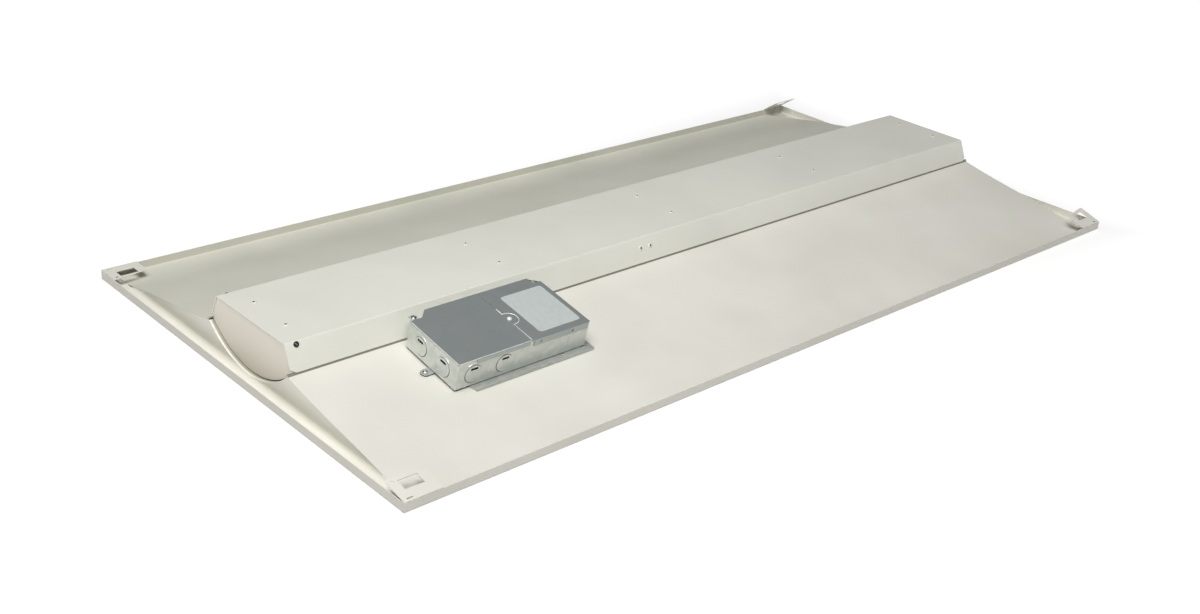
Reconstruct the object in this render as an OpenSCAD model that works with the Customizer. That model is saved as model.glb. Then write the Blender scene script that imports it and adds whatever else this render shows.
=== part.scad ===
// Recessed 2 ft x 4 ft troffer light with a centre basket, lying face down.
// Millimetres, +Z up. The origin is the centre of the frame, on the plane of the rim's room side,
// so +Z points into the ceiling void. X runs across the fixture and Y along it.

/* [Frame] */
// Overall length along Y
frame_length = 1213; // [1180:1:1240]
// Overall width along X
frame_width = 603; // [590:1:625]
// Steel sheet of the reflectors, end panels and channel
sheet = 0.8; // [0.6:0.1:1]
// Height of the lip round the frame
lip_height = 10.5; // [8:0.5:13]
// Flat rim along each long side, lip included
rim_width = 32; // [28:1:36]
// Flat rim at each end, lip included
end_rim = 16.5; // [14:0.5:20]
// Open corner notch, measured across from the long lip
notch_width = 21.7; // [16:0.1:24]
// Bend radius where the end wall leaves the rim
end_bend = 6; // [3:0.5:8]

/* [Reflector wings] */
// Rise of each wing from the rim to the channel
wing_rise = 34; // [28:0.5:36]
// Swell of the wing's S curve, as a share of its rise
wing_swell_share = 0.025; // [0:0.005:0.04]
// Height of the wing's return flange inside the channel cover
return_height = 23.2; // [18:0.2:24]
// Width of the end panel's weld flange under the wing
weld_flange = 12; // [8:1:20]

/* [Channel] */
// Length of the channel cover
cover_length = 1172; // [1160:1:1173]
// Width of the cover's flat top
cover_top_width = 134.8; // [130:0.2:140]
// Width between the cover's bottom edges
cover_bottom_width = 160; // [156:0.5:164]
// Height of the cover's bottom edges above the rim
cover_bottom_z = 37.5; // [37:0.5:40]
// Height of the cover
cover_height = 28.5; // [27:0.5:32]
// Chamfer at the bottom corners of the cover's ends, along Y
cover_chamfer = 6; // [3:1:10]
// Inset of the channel end plates from the cover's ends
end_inset = 1; // [0.5:0.5:3]
// Depth of the end plate's flanges along Y
end_flange = 20; // [16:1:24]
// Height of the end plate's lowest point above the rim
basket_z = 5.4; // [4.6:0.2:8]

/* [Lens] */
// Thickness of the lens
lens_thickness = 2; // [1.5:0.1:3]
// Height of the lens's upright edges
lens_edge = 7; // [5:0.5:8]

/* [Gear tray] */
// Width of the tray's pan
tray_width = 90; // [80:1:100]
// Height of the pan's underside above the rim
tray_z = 50; // [49:0.5:52]
// Length of the tray
tray_length = 1140; // [1132:1:1144]
// Width of each brim that is riveted under the cover
tray_brim = 23; // [18:1:28]
// Distance across the two rows of rivets
rivet_row_width = 63; // [56:1:66]
// Distance between the first and the last rivet along Y
rivet_run = 1124; // [1116:1:1126]

/* [Lamp boards] */
// Length of each board
board_length = 560; // [556:1:564]
// Width of each board
board_width = 20; // [18:1:22]
// Thickness of each board
board_thickness = 1.6; // [1:0.1:2]
// Distance across the centres of the two rows of boards
board_row_width = 48; // [46:1:54]
// Distance between lamp chips
chip_pitch = 20; // [20:1:24]

/* [Driver box] */
// Length of the box along Y
box_length = 179.4; // [176:0.1:184]
// Width of the box down the slope, without its tongue
box_width = 85.1; // [82:0.1:90]
// Height of the box, square to the slope
box_height = 33.9; // [33:0.1:40]
// Steel sheet of the box
box_sheet = 0.9; // [0.7:0.1:1.1]
// Distance from the fixture's middle line to the box's foot
box_x = 91.5; // [91.2:0.1:94]
// Distance from the near end of the frame to the box
box_y = 152.9; // [130:0.1:400]
// Width of the box's flange on the wing
base_flange = 10.4; // [9:0.1:13]
// Place of the seam between the two covers, from the box's near end
seam_b = 97; // [94:0.5:100]
// Radius of the knockouts
knockout_r = 11.1; // [9:0.1:11.4]

/* [Grid clips] */
// Width of a clip across the frame
clip_width = 33; // [28:1:36]
// Length of a clip along the frame
clip_length = 44; // [40:1:50]
// Angle at which the near right clip is left
clip_near_right_angle = 12; // [0:1:40]
// Angle at which the near left clip is left
clip_near_left_angle = 0; // [0:1:40]
// Angle at which the far right clip is left
clip_far_right_angle = 18; // [0:1:40]
// Angle at which the far left clip is left
clip_far_left_angle = 36; // [0:1:40]

/* [Hidden] */
$fn = 48;
// Run-over of every cut past the faces that it opens
over = 5;
// Running clearance between pieces that move, and round what is set into a hole
gap = 0.3;
// Clearance round rivets, screws and leads in their holes
hole_gap = 0.15;

half_w = frame_width / 2;
half_l = frame_length / 2;
rim_x = half_w - rim_width;
body_y = half_l - end_rim;

// Channel cover's side: cover_x(z) is the half width of its outer face at a height
cover_z = cover_bottom_z + cover_height;
cover_slope = (cover_bottom_width - cover_top_width) / 2 / cover_height;
side_angle = atan(cover_slope);
sheet_across = sheet / cos(side_angle);
function cover_x(z) = cover_bottom_width / 2 - cover_slope * (z - cover_bottom_z);
cover_in_z = cover_z - sheet;

// Wing: height of its back face over the rim's room side
wing_in_x = cover_bottom_width / 2;
wing_run = rim_x - wing_in_x;
function wing_share(x) = (rim_x - x) / wing_run;
function wing_top(x) = sheet + wing_rise * (wing_share(x) + wing_swell_share * sin(360 * wing_share(x)));
wing_steps = 30;
return_foot_x = cover_x(sheet + wing_rise) - sheet_across;
return_in_x = cover_x(wing_rise) - sheet_across * 2;
return_z = sheet + wing_rise + return_height;
wing_xs = [for (i = [0 : wing_steps]) rim_x + (return_foot_x - rim_x) * i / wing_steps];
wing_back = [for (i = [wing_steps : -1 : 0]) wing_xs[i]];

// Arc of the basket: through the cover's inner bottom edges and basket_z
arc_x = cover_x(cover_bottom_z) - sheet_across;
arc_rise = cover_bottom_z - basket_z;
arc_r = (arc_x * arc_x + arc_rise * arc_rise) / 2 / arc_rise;
arc_z = basket_z + arc_r;
end_y = cover_length / 2 - end_inset;
lens_r = arc_r - gap * 1.5;
lens_y = end_y - sheet - gap;
lens_edge_z = cover_bottom_z - sheet / 2;
lens_edge_x = sqrt(pow(lens_r, 2) - pow(arc_z - lens_edge_z, 2));
lens_across = lens_thickness / cos(side_angle);

// End panel
wall_start_x = rim_x - rim_width * 0.3;
arc_cut_r = arc_r + sheet + gap;
arc_from_y = end_y - sheet;
weld_from_x = cover_bottom_width / 2 + weld_flange;
weld_to_x = rim_x - weld_flange * 2;

// Tray
tray_half = tray_width / 2;
rivet_x = rivet_row_width / 2;
rivet_ys = [for (i = [-2 : 2]) i * rivet_run / 4];
rivet_r = 2;
rivet_head_r = 3.1;
rivet_head = 1;
rivet_bore = 1;
rivet_tail_r = 2.8;
rivet_tail = 1.6;
end_screw_in = 12;
end_screw_drop = 3.1;
end_screw_y = end_y - end_screw_in;
end_screw_z = cover_z - end_screw_drop;
end_screw_r = 1.6;
end_screw_head_r = 3.2;
end_screw_head = 1.5;
end_tab = 5.8;
end_tab_z = cover_in_z - end_tab;
side_rivet_y = -85;
side_rivet_pitch = 16;
side_rivet_up = 16.5;
side_rivet_z = cover_bottom_z + side_rivet_up;

// Boards
board_x = board_row_width / 2;
board_gap = 8;
board_y = board_gap / 2;
board_z = tray_z - board_thickness;
chip_size = [2.8, 3.5, 0.7];
chip_first = 10;
chip_count = floor((board_length - chip_first * 1.5) / chip_pitch) + 1;
board_screw_r = 1.5;
board_screw_head_r = 2.8;
board_screw_head = 1.6;
board_screws_each = 3;
board_screw_steps = floor((chip_count - 2) / (board_screws_each - 1));
connector_size = [7, 12, 4.4];
connector_inset = [0.5, 1];
connector_x = board_x + board_width / 2 - connector_size[0] / 2 - connector_inset[0];
connector_y = board_y + connector_inset[1];
link_rows = [3, 7];
link_z = board_z - connector_size[2] / 2;

// Driver box frame: a runs down the slope, b along the fixture, c square to the slope
box_seat = 0.2;
seat_inset = 0.5;
seat_in_x = wing_in_x + seat_inset;
seat_out_x = seat_in_x + box_width + base_flange * 2;
box_tilt = atan((wing_top(seat_in_x) - wing_top(seat_out_x)) / (seat_out_x - seat_in_x));
box_z = wing_top(seat_in_x) - tan(box_tilt) * (box_x - seat_in_x) + box_seat;
box_start = box_y - half_l;
function box_a(x, z) = (x - box_x) * cos(box_tilt) - (z - box_z) * sin(box_tilt);
function box_c(x, z) = (x - box_x) * sin(box_tilt) + (z - box_z) * cos(box_tilt);
tongue_a = box_a(cover_x(cover_bottom_z), cover_bottom_z) + gap;
shoulder_a = -1;
tongue_near = 16;
tongue_short = 11.4;
tongue_far = box_length - tongue_short;
tongue_taper = -tongue_a + shoulder_a;
base_top = box_sheet;
lid_c = box_height - box_sheet;
wall_top = lid_c - gap / 3;
strap_lead = 5;
strap_b = seam_b - strap_lead;
strap_width = 18;
screw_a = box_width / 2;
screw_past_seam = 2.9;
screw_b = seam_b + screw_past_seam;
strap_hole_gap = 1;
tab_r = 9.5;
seam_gap = 0.5;
cover_lip = 5;
lid_lip = 8;
lip_start = 24;
cover_screw_r = 1.7;
cover_screw_head_r = 2.9;
cover_screw_head = 1.7;
cover_screw_length = 7;
knock_c = 16.2;
knock_front = [21.5, 62.5];
knock_end = [22, 61.7];
knock_slot = [6, 1.5];
knock_slot_up = 6.4;
knock_slot_c = knock_c + knock_slot_up;
base_lip = 3.5;
flange_start = 19;
flange_past = 7.6;
flange_corner = 5;
ear_a = 45;
ear_b = 8;
ear_r = 5.5;
base_screw_r = 1.6;
base_screw_head_r = 3.1;
base_screw_head = 1.8;
notch_ear_b = 5;
notch_ear_size = 10;
notch_ear_drop = 3.4;
notch_ear_c = box_height - notch_ear_drop;

// Driver and its wiring
driver_past_seam = 7;
driver_b = seam_b + driver_past_seam;
driver_a = 4;
driver_foot = [16, 8, 1.4];
driver_end_room = 3.4;
driver_width = 70;
driver_height = 24;
driver_reach = box_length - driver_b - driver_foot[1] - driver_end_room;
driver_size = [driver_width, driver_reach, driver_height];
lead_r = 0.9;
lead_bend = 3;
sleeve_before_seam = 11;
sleeve_b = seam_b - sleeve_before_seam;
sleeve_c = 15;
sleeve_r = 6;
sleeve_bore = 4.2;
sleeve_collar_r = 8;
sleeve_collar = 1.4;
sleeve_past = 13;
lead_half = 1.5;
lead_in_a = [18, 14];
lead_run_in = [24.6, 20.6];
lead_run_a = [tongue_a - lead_run_in[0], tongue_a - lead_run_in[1]];
lead_end_b = [connector_y + link_rows[0] - box_start, connector_y + link_rows[1] - box_start];
lead_end_a = box_a(connector_x + connector_size[0] / 2, link_z) + gap;
lead_end_c = box_c(connector_x + connector_size[0] / 2, link_z);
supply_a = [32, 46];
supply_c = 12;
nut_b = 54;
nut_length = 20;
nut_wide_r = 5;
nut_tip_r = 3.6;
ground_a = 72;
ground_b = 22;
ground_c = 5;
ground_screw_r = 1.9;
ground_head_r = 4;
ground_head = 2.6;
ring_r = 3.8;
ring_sheet = 0.8;
clamp_length = 26;
clamp_height = 9;
clamp_wall = 1.2;
clamp_block = 6;
clamp_side = 2;
clamp_seat = 0.05;

// Clips
clip_window = [13, 22];
clip_window_at = [14, 11];
clip_slot = [1.4, 6.7];
clip_slot_at = [2.4, 5];
clip_hole_r = 1.6;
clip_hole_at = [27.7, 5.6];
clip_slant = 7;
clip_axis_x = half_w - sheet / 2;
clip_axis_z = lip_height + sheet / 2 + gap;

// Helpers

module along_y(length) {
    rotate([90, 0, 0]) translate([0, 0, -length / 2]) linear_extrude(height = length) children();
}

module both_x() {
    children();
    mirror([1, 0, 0]) children();
}

module both_y() {
    children();
    mirror([0, 1, 0]) children();
}

module side_frame(y, z) {
    translate([cover_x(z), y, z]) rotate([0, 90 - side_angle, 0]) children();
}

module box_frame() {
    translate([box_x, box_start, box_z]) rotate([0, box_tilt, 0]) children();
}

module rivet(grip) {
    depth = grip * 0.6;
    rotate_extrude() polygon([
        [0, -depth], [rivet_bore, -depth], [rivet_bore, rivet_head], [rivet_head_r * 0.6, rivet_head],
        [rivet_head_r, rivet_head * 0.3], [rivet_head_r, 0], [rivet_r, 0], [rivet_r, -grip],
        [rivet_tail_r, -grip], [rivet_tail_r * 0.7, -grip - rivet_tail], [0, -grip - rivet_tail]
    ]);
}

module screw(head_r, head, shank_r, length) {
    difference() {
        rotate_extrude() polygon([
            [0, head], [head_r * 0.55, head], [head_r * 0.9, head * 0.62], [head_r, head * 0.25],
            [head_r, 0], [shank_r, 0], [shank_r, -length * 0.85], [shank_r * 0.5, -length], [0, -length]
        ]);
        for (turn = [0, 90])
            rotate([0, 0, turn]) translate([-head_r * 0.55, -head_r * 0.12, head * 0.45])
                cube([head_r * 1.1, head_r * 0.24, head]);
    }
}

module lead_x(p, length) {
    translate(p) rotate([0, 90, 0]) cylinder(r = lead_r, h = length);
}

module lead_y(p, length) {
    translate(p) rotate([-90, 0, 0]) cylinder(r = lead_r, h = length);
}

module lead_z(p, length) {
    translate(p) cylinder(r = lead_r, h = length);
}

module lead_elbow() {
    rotate_extrude(angle = 90) translate([lead_bend, 0]) rotate(90) circle(r = lead_r);
}

// Reflector wings and end panels

module wing_sheet() {
    polygon(concat(
        [[half_w, 0], [half_w, lip_height], [half_w - sheet, lip_height], [half_w - sheet, sheet]],
        [for (x = wing_xs) [x, wing_top(x)]],
        [[return_in_x, wing_top(return_in_x) - sheet]],
        [for (x = wing_back) [x, wing_top(x) - sheet]]
    ));
}

module return_flange() {
    polygon([
        [return_foot_x, wing_top(return_foot_x)],
        [cover_x(return_z) - sheet_across, return_z],
        [cover_x(return_z) - sheet_across * 2, return_z],
        [return_in_x, wing_top(return_in_x) - sheet]
    ]);
}

module wing() {
    along_y(body_y * 2) wing_sheet();
    along_y(end_y * 2 - sheet * 4) return_flange();
    translate([half_w - sheet, -half_l, 0]) cube([sheet, frame_length, lip_height]);
}

module reflector_left() {
    color("#b8baae") mirror([1, 0, 0]) wing();
}

module reflector_right() {
    color("#e6e3db") difference() {
        wing();
        sleeve_hole();
        side_rivet_holes();
    }
}

module wall_outline() {
    polygon(concat(
        [[-wall_start_x, 0], [wall_start_x, 0]],
        [for (x = wing_xs) if (x < wall_start_x) [x, wing_top(x) - sheet]],
        [[return_in_x, wing_top(return_in_x) - sheet]],
        [[-return_in_x, wing_top(return_in_x) - sheet]],
        [for (x = wing_back) if (x < wall_start_x) [-x, wing_top(x) - sheet]]
    ));
}

module weld_outline() {
    polygon(concat(
        [for (x = wing_xs) if (x < weld_to_x && x > weld_from_x) [x, wing_top(x) - sheet]],
        [for (x = wing_back) if (x < weld_to_x && x > weld_from_x) [x, wing_top(x) - sheet * 2]]
    ));
}

module slab(from, to) {
    translate([0, to, 0]) rotate([90, 0, 0]) linear_extrude(height = to - from) children();
}

module arc_drum(r, from, to) {
    translate([0, from, arc_z]) rotate([-90, 0, 0]) cylinder(r = r, h = to - from, $fn = 180);
}

module end_panel() {
    bend_y = body_y + end_bend;
    difference() {
        union() {
            intersection() {
                slab(body_y - sheet, bend_y) wall_outline();
                union() {
                    translate([-half_w, body_y - sheet, sheet + end_bend])
                        cube([frame_width, sheet, wing_rise]);
                    difference() {
                        translate([-half_w, bend_y, sheet + end_bend]) rotate([0, 90, 0])
                            cylinder(r = end_bend + sheet, h = frame_width);
                        translate([-half_w - over, bend_y, sheet + end_bend]) rotate([0, 90, 0])
                            cylinder(r = end_bend, h = frame_width + over * 2);
                        translate([-half_w - over, bend_y - end_bend * 2, sheet + end_bend])
                            cube([frame_width + over * 2, end_bend * 4, end_bend * 2]);
                        translate([-half_w - over, bend_y, -end_bend])
                            cube([frame_width + over * 2, end_bend * 2, end_bend * 4]);
                    }
                }
            }
            translate([-wall_start_x, bend_y, 0])
                cube([wall_start_x * 2, half_l - bend_y, sheet]);
            both_x() translate([wall_start_x, body_y, 0])
                cube([half_w - sheet - notch_width - wall_start_x, end_rim, sheet]);
            translate([-half_w + sheet, half_l - sheet, 0])
                cube([frame_width - sheet * 2, sheet, lip_height]);
            both_x() slab(body_y - sheet - weld_flange, body_y - sheet) weld_outline();
            intersection() {
                slab(arc_from_y, body_y) wall_outline();
                difference() {
                    arc_drum(arc_cut_r + sheet, arc_from_y, body_y);
                    arc_drum(arc_cut_r, arc_from_y - over, body_y + over);
                }
            }
        }
        arc_drum(arc_cut_r, body_y - sheet - over, body_y + end_bend);
    }
}

module end_panel_near() {
    color("#d8d4c8") mirror([0, 1, 0]) end_panel();
}

module end_panel_far() {
    color("#d8d4c8") end_panel();
}

// Channel

module rivet_holes() {
    both_x() for (y = rivet_ys)
        translate([rivet_x, y, cover_in_z - sheet - over])
            cylinder(r = rivet_r + hole_gap, h = sheet * 2 + over * 2);
}

module side_rivet_holes() {
    for (side = [-1, 1])
        side_frame(side_rivet_y + side * side_rivet_pitch / 2, side_rivet_z)
            translate([0, 0, -over]) cylinder(r = rivet_r + hole_gap, h = over * 2);
}

module end_screw_holes() {
    both_x() side_frame(end_screw_y, end_screw_z)
        translate([0, 0, -over]) cylinder(r = end_screw_r + hole_gap, h = over * 2);
}

module sleeve_hole() {
    box_frame() translate([tongue_a - sleeve_past - over, sleeve_b, sleeve_c]) rotate([0, 90, 0])
        cylinder(r = sleeve_r + hole_gap, h = sleeve_past + over * 2);
}

module channel_cover() {
    top_x = cover_top_width / 2;
    bottom_x = cover_bottom_width / 2;
    in_x = cover_x(cover_in_z) - sheet_across;
    color("#dcdcd0") difference() {
        along_y(cover_length) polygon([
            [-bottom_x, cover_bottom_z], [-top_x, cover_z], [top_x, cover_z], [bottom_x, cover_bottom_z],
            [bottom_x - sheet_across, cover_bottom_z], [in_x, cover_in_z],
            [-in_x, cover_in_z], [-bottom_x + sheet_across, cover_bottom_z]
        ]);
        rivet_holes();
        side_rivet_holes();
        mirror([0, 1, 0]) end_screw_holes();
        sleeve_hole();
        both_y() translate([-bottom_x - over, 0, 0]) rotate([90, 0, 90])
            linear_extrude(height = cover_bottom_width + over * 2) polygon([
                [cover_length / 2 - cover_chamfer, cover_bottom_z],
                [cover_length / 2, cover_bottom_z + cover_chamfer * 0.6],
                [cover_length / 2 + over, cover_bottom_z + cover_chamfer * 0.6],
                [cover_length / 2 + over, cover_bottom_z - over],
                [cover_length / 2 - cover_chamfer, cover_bottom_z - over]
            ]);
    }
}

module channel_end() {
    in_x = cover_x(cover_in_z) - sheet_across;
    tab_x = cover_x(end_tab_z) - sheet_across;
    brim_in = tray_half - tray_brim;
    union() {
        slab(end_y - sheet, end_y) polygon([
            [-arc_x, cover_bottom_z], [-in_x, cover_in_z], [in_x, cover_in_z], [arc_x, cover_bottom_z]
        ]);
        intersection() {
            arc_drum(arc_r, end_y - sheet, end_y);
            translate([-half_w, 0, basket_z - over])
                cube([frame_width, half_l, cover_bottom_z - basket_z + over]);
        }
        translate([-brim_in + gap, end_y - end_flange, cover_in_z - sheet])
            cube([(brim_in - gap) * 2, end_flange, sheet]);
        both_x() slab(end_y - end_flange, end_y) polygon([
            [tab_x, end_tab_z], [in_x, cover_in_z],
            [in_x - sheet_across, cover_in_z], [tab_x - sheet_across, end_tab_z]
        ]);
    }
}

module channel_end_near() {
    color("#c2bbae") mirror([0, 1, 0]) difference() {
        channel_end();
        end_screw_holes();
    }
}

module channel_end_far() {
    color("#c2bbae") channel_end();
}

module lens() {
    top_z = lens_edge_z + lens_edge;
    shift_x = cover_slope * lens_edge;
    color("#f4f3ee", 0.8) union() {
        intersection() {
            difference() {
                arc_drum(lens_r, -lens_y, lens_y);
                arc_drum(lens_r - lens_thickness, -lens_y - over, lens_y + over);
            }
            translate([-half_w, -half_l, basket_z - over])
                cube([frame_width, frame_length, lens_edge_z - basket_z + over]);
        }
        both_x() along_y(lens_y * 2) polygon([
            [lens_edge_x, lens_edge_z], [lens_edge_x - shift_x, top_z],
            [lens_edge_x - shift_x - lens_across, top_z], [lens_edge_x - lens_across, lens_edge_z]
        ]);
    }
}

module board_screw_places() {
    both_x() both_y() for (i = [0 : board_screws_each - 1])
        translate([board_x, board_y + chip_first + chip_pitch * (0.5 + i * board_screw_steps), 0])
            children();
}

module board_screw_holes() {
    board_screw_places() translate([0, 0, board_z - over])
        cylinder(r = board_screw_r + hole_gap, h = board_thickness + sheet + over * 2);
}

module gear_tray() {
    brim_in = tray_half - tray_brim;
    brim_z = cover_in_z - sheet;
    pan_z = tray_z + sheet;
    wall_x = tray_half - sheet;
    color("#e8e8e2") difference() {
        along_y(tray_length) polygon([
            [-brim_in, cover_in_z], [-tray_half, cover_in_z], [-tray_half, tray_z], [tray_half, tray_z],
            [tray_half, cover_in_z], [brim_in, cover_in_z], [brim_in, brim_z], [wall_x, brim_z],
            [wall_x, pan_z], [-wall_x, pan_z], [-wall_x, brim_z], [-brim_in, brim_z]
        ]);
        rivet_holes();
        board_screw_holes();
    }
}

module tray_rivets() {
    color("#e2e2d8") both_x() for (y = rivet_ys)
        translate([rivet_x, y, cover_z]) rivet(sheet * 2);
}

module end_screws() {
    color("#5c5c58") mirror([0, 1, 0]) both_x() side_frame(end_screw_y, end_screw_z)
        screw(end_screw_head_r, end_screw_head, end_screw_r, sheet * 8);
}

module side_rivets() {
    color("#d2cec2") for (side = [-1, 1])
        side_frame(side_rivet_y + side * side_rivet_pitch / 2, side_rivet_z)
            rivet(sheet * 2 + clamp_seat + clamp_wall);
}

module lead_clamp() {
    mid_a = (lead_run_a[0] + lead_run_a[1]) / 2;
    block_from = lead_run_a[0] - lead_r - clamp_side;
    block_to = box_a(cover_x(side_rivet_z) - sheet_across * 2 - clamp_wall, side_rivet_z);
    color("#3c3c3c") difference() {
        union() {
            side_frame(side_rivet_y, side_rivet_z)
                translate([-clamp_height / 2, -clamp_length / 2, -sheet * 2 - clamp_seat - clamp_wall])
                    cube([clamp_height, clamp_length, clamp_wall]);
            box_frame() translate([
                block_from, side_rivet_y - clamp_block / 2 - box_start, sleeve_c - lead_r - clamp_side
            ])
                cube([block_to - block_from, clamp_block, (lead_r + clamp_side) * 2]);
        }
        side_rivet_holes();
        box_frame() for (a = lead_run_a)
            translate([a, side_rivet_y - clamp_block - box_start, sleeve_c]) rotate([-90, 0, 0])
                cylinder(r = lead_r + hole_gap, h = clamp_block * 2);
    }
}

// Lamp boards

module board() {
    difference() {
        translate([board_x - board_width / 2, board_y, board_z])
            cube([board_width, board_length, board_thickness]);
        board_screw_holes();
    }
}

module led_board_1() {
    color("#f2f2ee") board();
}

module led_board_2() {
    color("#f2f2ee") mirror([1, 0, 0]) board();
}

module led_board_3() {
    color("#f2f2ee") mirror([0, 1, 0]) board();
}

module led_board_4() {
    color("#f2f2ee") mirror([0, 1, 0]) mirror([1, 0, 0]) board();
}

module led_chips() {
    color("#f0d878") both_x() both_y() for (i = [0 : chip_count - 1])
        translate([
            board_x - chip_size[0] / 2,
            board_y + chip_first + i * chip_pitch - chip_size[1] / 2,
            board_z - chip_size[2]
        ])
            cube(chip_size);
}

module board_screws() {
    color("#b9bcbd") board_screw_places() translate([0, 0, board_z]) rotate([180, 0, 0])
        screw(board_screw_head_r, board_screw_head, board_screw_r, board_thickness + sheet * 4);
}

module board_connectors() {
    color("#f6f6f2") both_x() both_y() difference() {
        translate([connector_x - connector_size[0] / 2, connector_y, board_z - connector_size[2]])
            cube(connector_size);
        for (i = [1, 2])
            translate([
                connector_x - connector_size[0] / 8, connector_y + connector_size[1] * (i - 0.5) / 2 - lead_r,
                board_z - connector_size[2] * 1.5
            ])
                cube([connector_size[0] / 3, lead_r * 2, connector_size[2]]);
    }
}

module board_links() {
    across = (connector_x - connector_size[0] / 2 - gap) * 2;
    color("#e8e8e0") {
        both_x() lead_y([connector_x, -connector_y + gap, link_z], (connector_y - gap) * 2);
        for (y = link_rows)
            lead_x([-across / 2, -connector_y - y, link_z], across);
    }
}

// Driver box

module box_plan(inset) {
    front = box_width - inset;
    back = shoulder_a + inset;
    tongue = tongue_a + inset;
    far = box_length - inset;
    turn = inset * tan(22.5);
    polygon([
        [back, inset], [front, inset], [front, far], [back, far],
        [back, tongue_far - inset], [tongue, tongue_far - inset],
        [tongue, tongue_near + tongue_taper + turn], [back, tongue_near + turn]
    ]);
}

module driver_base() {
    front = box_width;
    flange = front + base_flange;
    past = box_length + flange_past;
    color("#a9aea8") box_frame() difference() {
        union() {
            linear_extrude(height = box_sheet) {
                box_plan(box_sheet + gap);
                polygon([
                    [front - over, flange_start], [front, flange_start], [flange, flange_start + flange_corner / 2],
                    [flange, past - flange_corner / 2], [flange - flange_corner / 2, past],
                    [front - flange_corner * 1.4, past],
                    [front - flange_corner * 1.4, box_length - over], [front - over, box_length - over]
                ]);
            }
            translate([flange - box_sheet, flange_start + flange_corner / 2, 0])
                cube([box_sheet, past - flange_start - flange_corner, base_lip]);
            translate([ear_a - ear_r, -ear_b, 0]) cube([ear_r * 2, ear_b + over, box_sheet]);
            translate([ear_a, -ear_b, 0]) cylinder(r = ear_r, h = box_sheet);
        }
        translate([ear_a, -ear_b, -over])
            cylinder(r = base_screw_r + hole_gap, h = box_sheet + over * 2);
        for (place_share = [0.82, 0.985])
            translate([front + gap, box_length * place_share - over / 2, -over])
                cube([over / 2, over, box_sheet + over * 2]);
        driver_screw_holes();
        translate([ground_a, ground_b, -over])
            cylinder(r = ground_screw_r + hole_gap, h = box_sheet + over * 2);
    }
}

module knock_places_front() {
    for (b = knock_front)
        translate([box_width, b, knock_c]) rotate([0, 90, 0]) children();
}

module knock_places_end() {
    for (a = knock_end)
        translate([a, 0, knock_c]) rotate([90, 0, 0]) children();
}

module knock_cut() {
    translate([0, 0, -box_sheet - over]) cylinder(r = knockout_r, h = box_sheet + over * 2);
}

module driver_box() {
    color("#b5b9b2") box_frame() {
        difference() {
            translate([0, 0, box_sheet]) linear_extrude(height = wall_top - box_sheet)
                difference() {
                    box_plan(0);
                    box_plan(box_sheet);
                }
            knock_places_front() knock_cut();
            knock_places_end() knock_cut();
            translate([tongue_a - over, sleeve_b, sleeve_c]) rotate([0, 90, 0])
                cylinder(r = sleeve_r + hole_gap, h = over * 2);
        }
        difference() {
            translate([tongue_a + box_sheet, strap_b, wall_top - box_sheet])
                cube([box_width - box_sheet * 2 - tongue_a, strap_width, box_sheet]);
            translate([screw_a, screw_b, 0]) cylinder(r = cover_screw_r + strap_hole_gap, h = box_height);
        }
        difference() {
            translate([tongue_a, notch_ear_b, notch_ear_c])
                cube([shoulder_a - tongue_a + box_sheet / 2, notch_ear_size, box_sheet]);
            translate([(tongue_a + shoulder_a) / 2, notch_ear_b + notch_ear_size / 2, 0])
                cylinder(r = base_screw_r + hole_gap, h = box_height);
        }
    }
}

module knockout() {
    difference() {
        translate([0, 0, -box_sheet]) cylinder(r = knockout_r - gap, h = box_sheet * 0.75);
        children();
    }
}

module knockouts() {
    slot_up = knock_slot_c - knock_c;
    color("#b1b5ae") box_frame() {
        knock_places_front() knockout() translate([
            -slot_up - knock_slot[1] / 2, -knock_slot[0] / 2, -box_sheet - over
        ])
            cube([knock_slot[1], knock_slot[0], box_sheet + over * 2]);
        knock_places_end() knockout() translate([
            -knock_slot[0] / 2, slot_up - knock_slot[1] / 2, -box_sheet - over
        ])
            cube([knock_slot[0], knock_slot[1], box_sheet + over * 2]);
    }
}

module wiring_cover() {
    lip_a = box_width + gap;
    color("#808886") box_frame() {
        difference() {
            translate([0, 0, lid_c]) linear_extrude(height = box_sheet) {
                intersection() {
                    box_plan(0);
                    translate([tongue_a - over, box_sheet / 2])
                        square([box_width - tongue_a + over * 2, seam_b - box_sheet / 2]);
                }
                translate([screw_a, screw_b]) circle(r = tab_r);
            }
            translate([screw_a, screw_b, lid_c - over])
                cylinder(r = cover_screw_r + hole_gap, h = box_sheet + over * 2);
        }
        translate([shoulder_a, box_sheet / 2, lid_c + box_sheet / 2]) rotate([0, 90, 0])
            cylinder(r = box_sheet / 2, h = box_width - shoulder_a);
        translate([box_width - box_sheet, lip_start, lid_c])
            cube([box_sheet * 2 + gap, seam_b - lip_start - cover_lip / 2, box_sheet]);
        translate([lip_a, lip_start, box_height - cover_lip])
            cube([box_sheet, seam_b - lip_start - cover_lip / 2, cover_lip]);
    }
}

module cover_screw() {
    color("#d8d4c4") box_frame() translate([screw_a, screw_b, box_height])
        screw(cover_screw_head_r, cover_screw_head, cover_screw_r, cover_screw_length);
}

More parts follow.
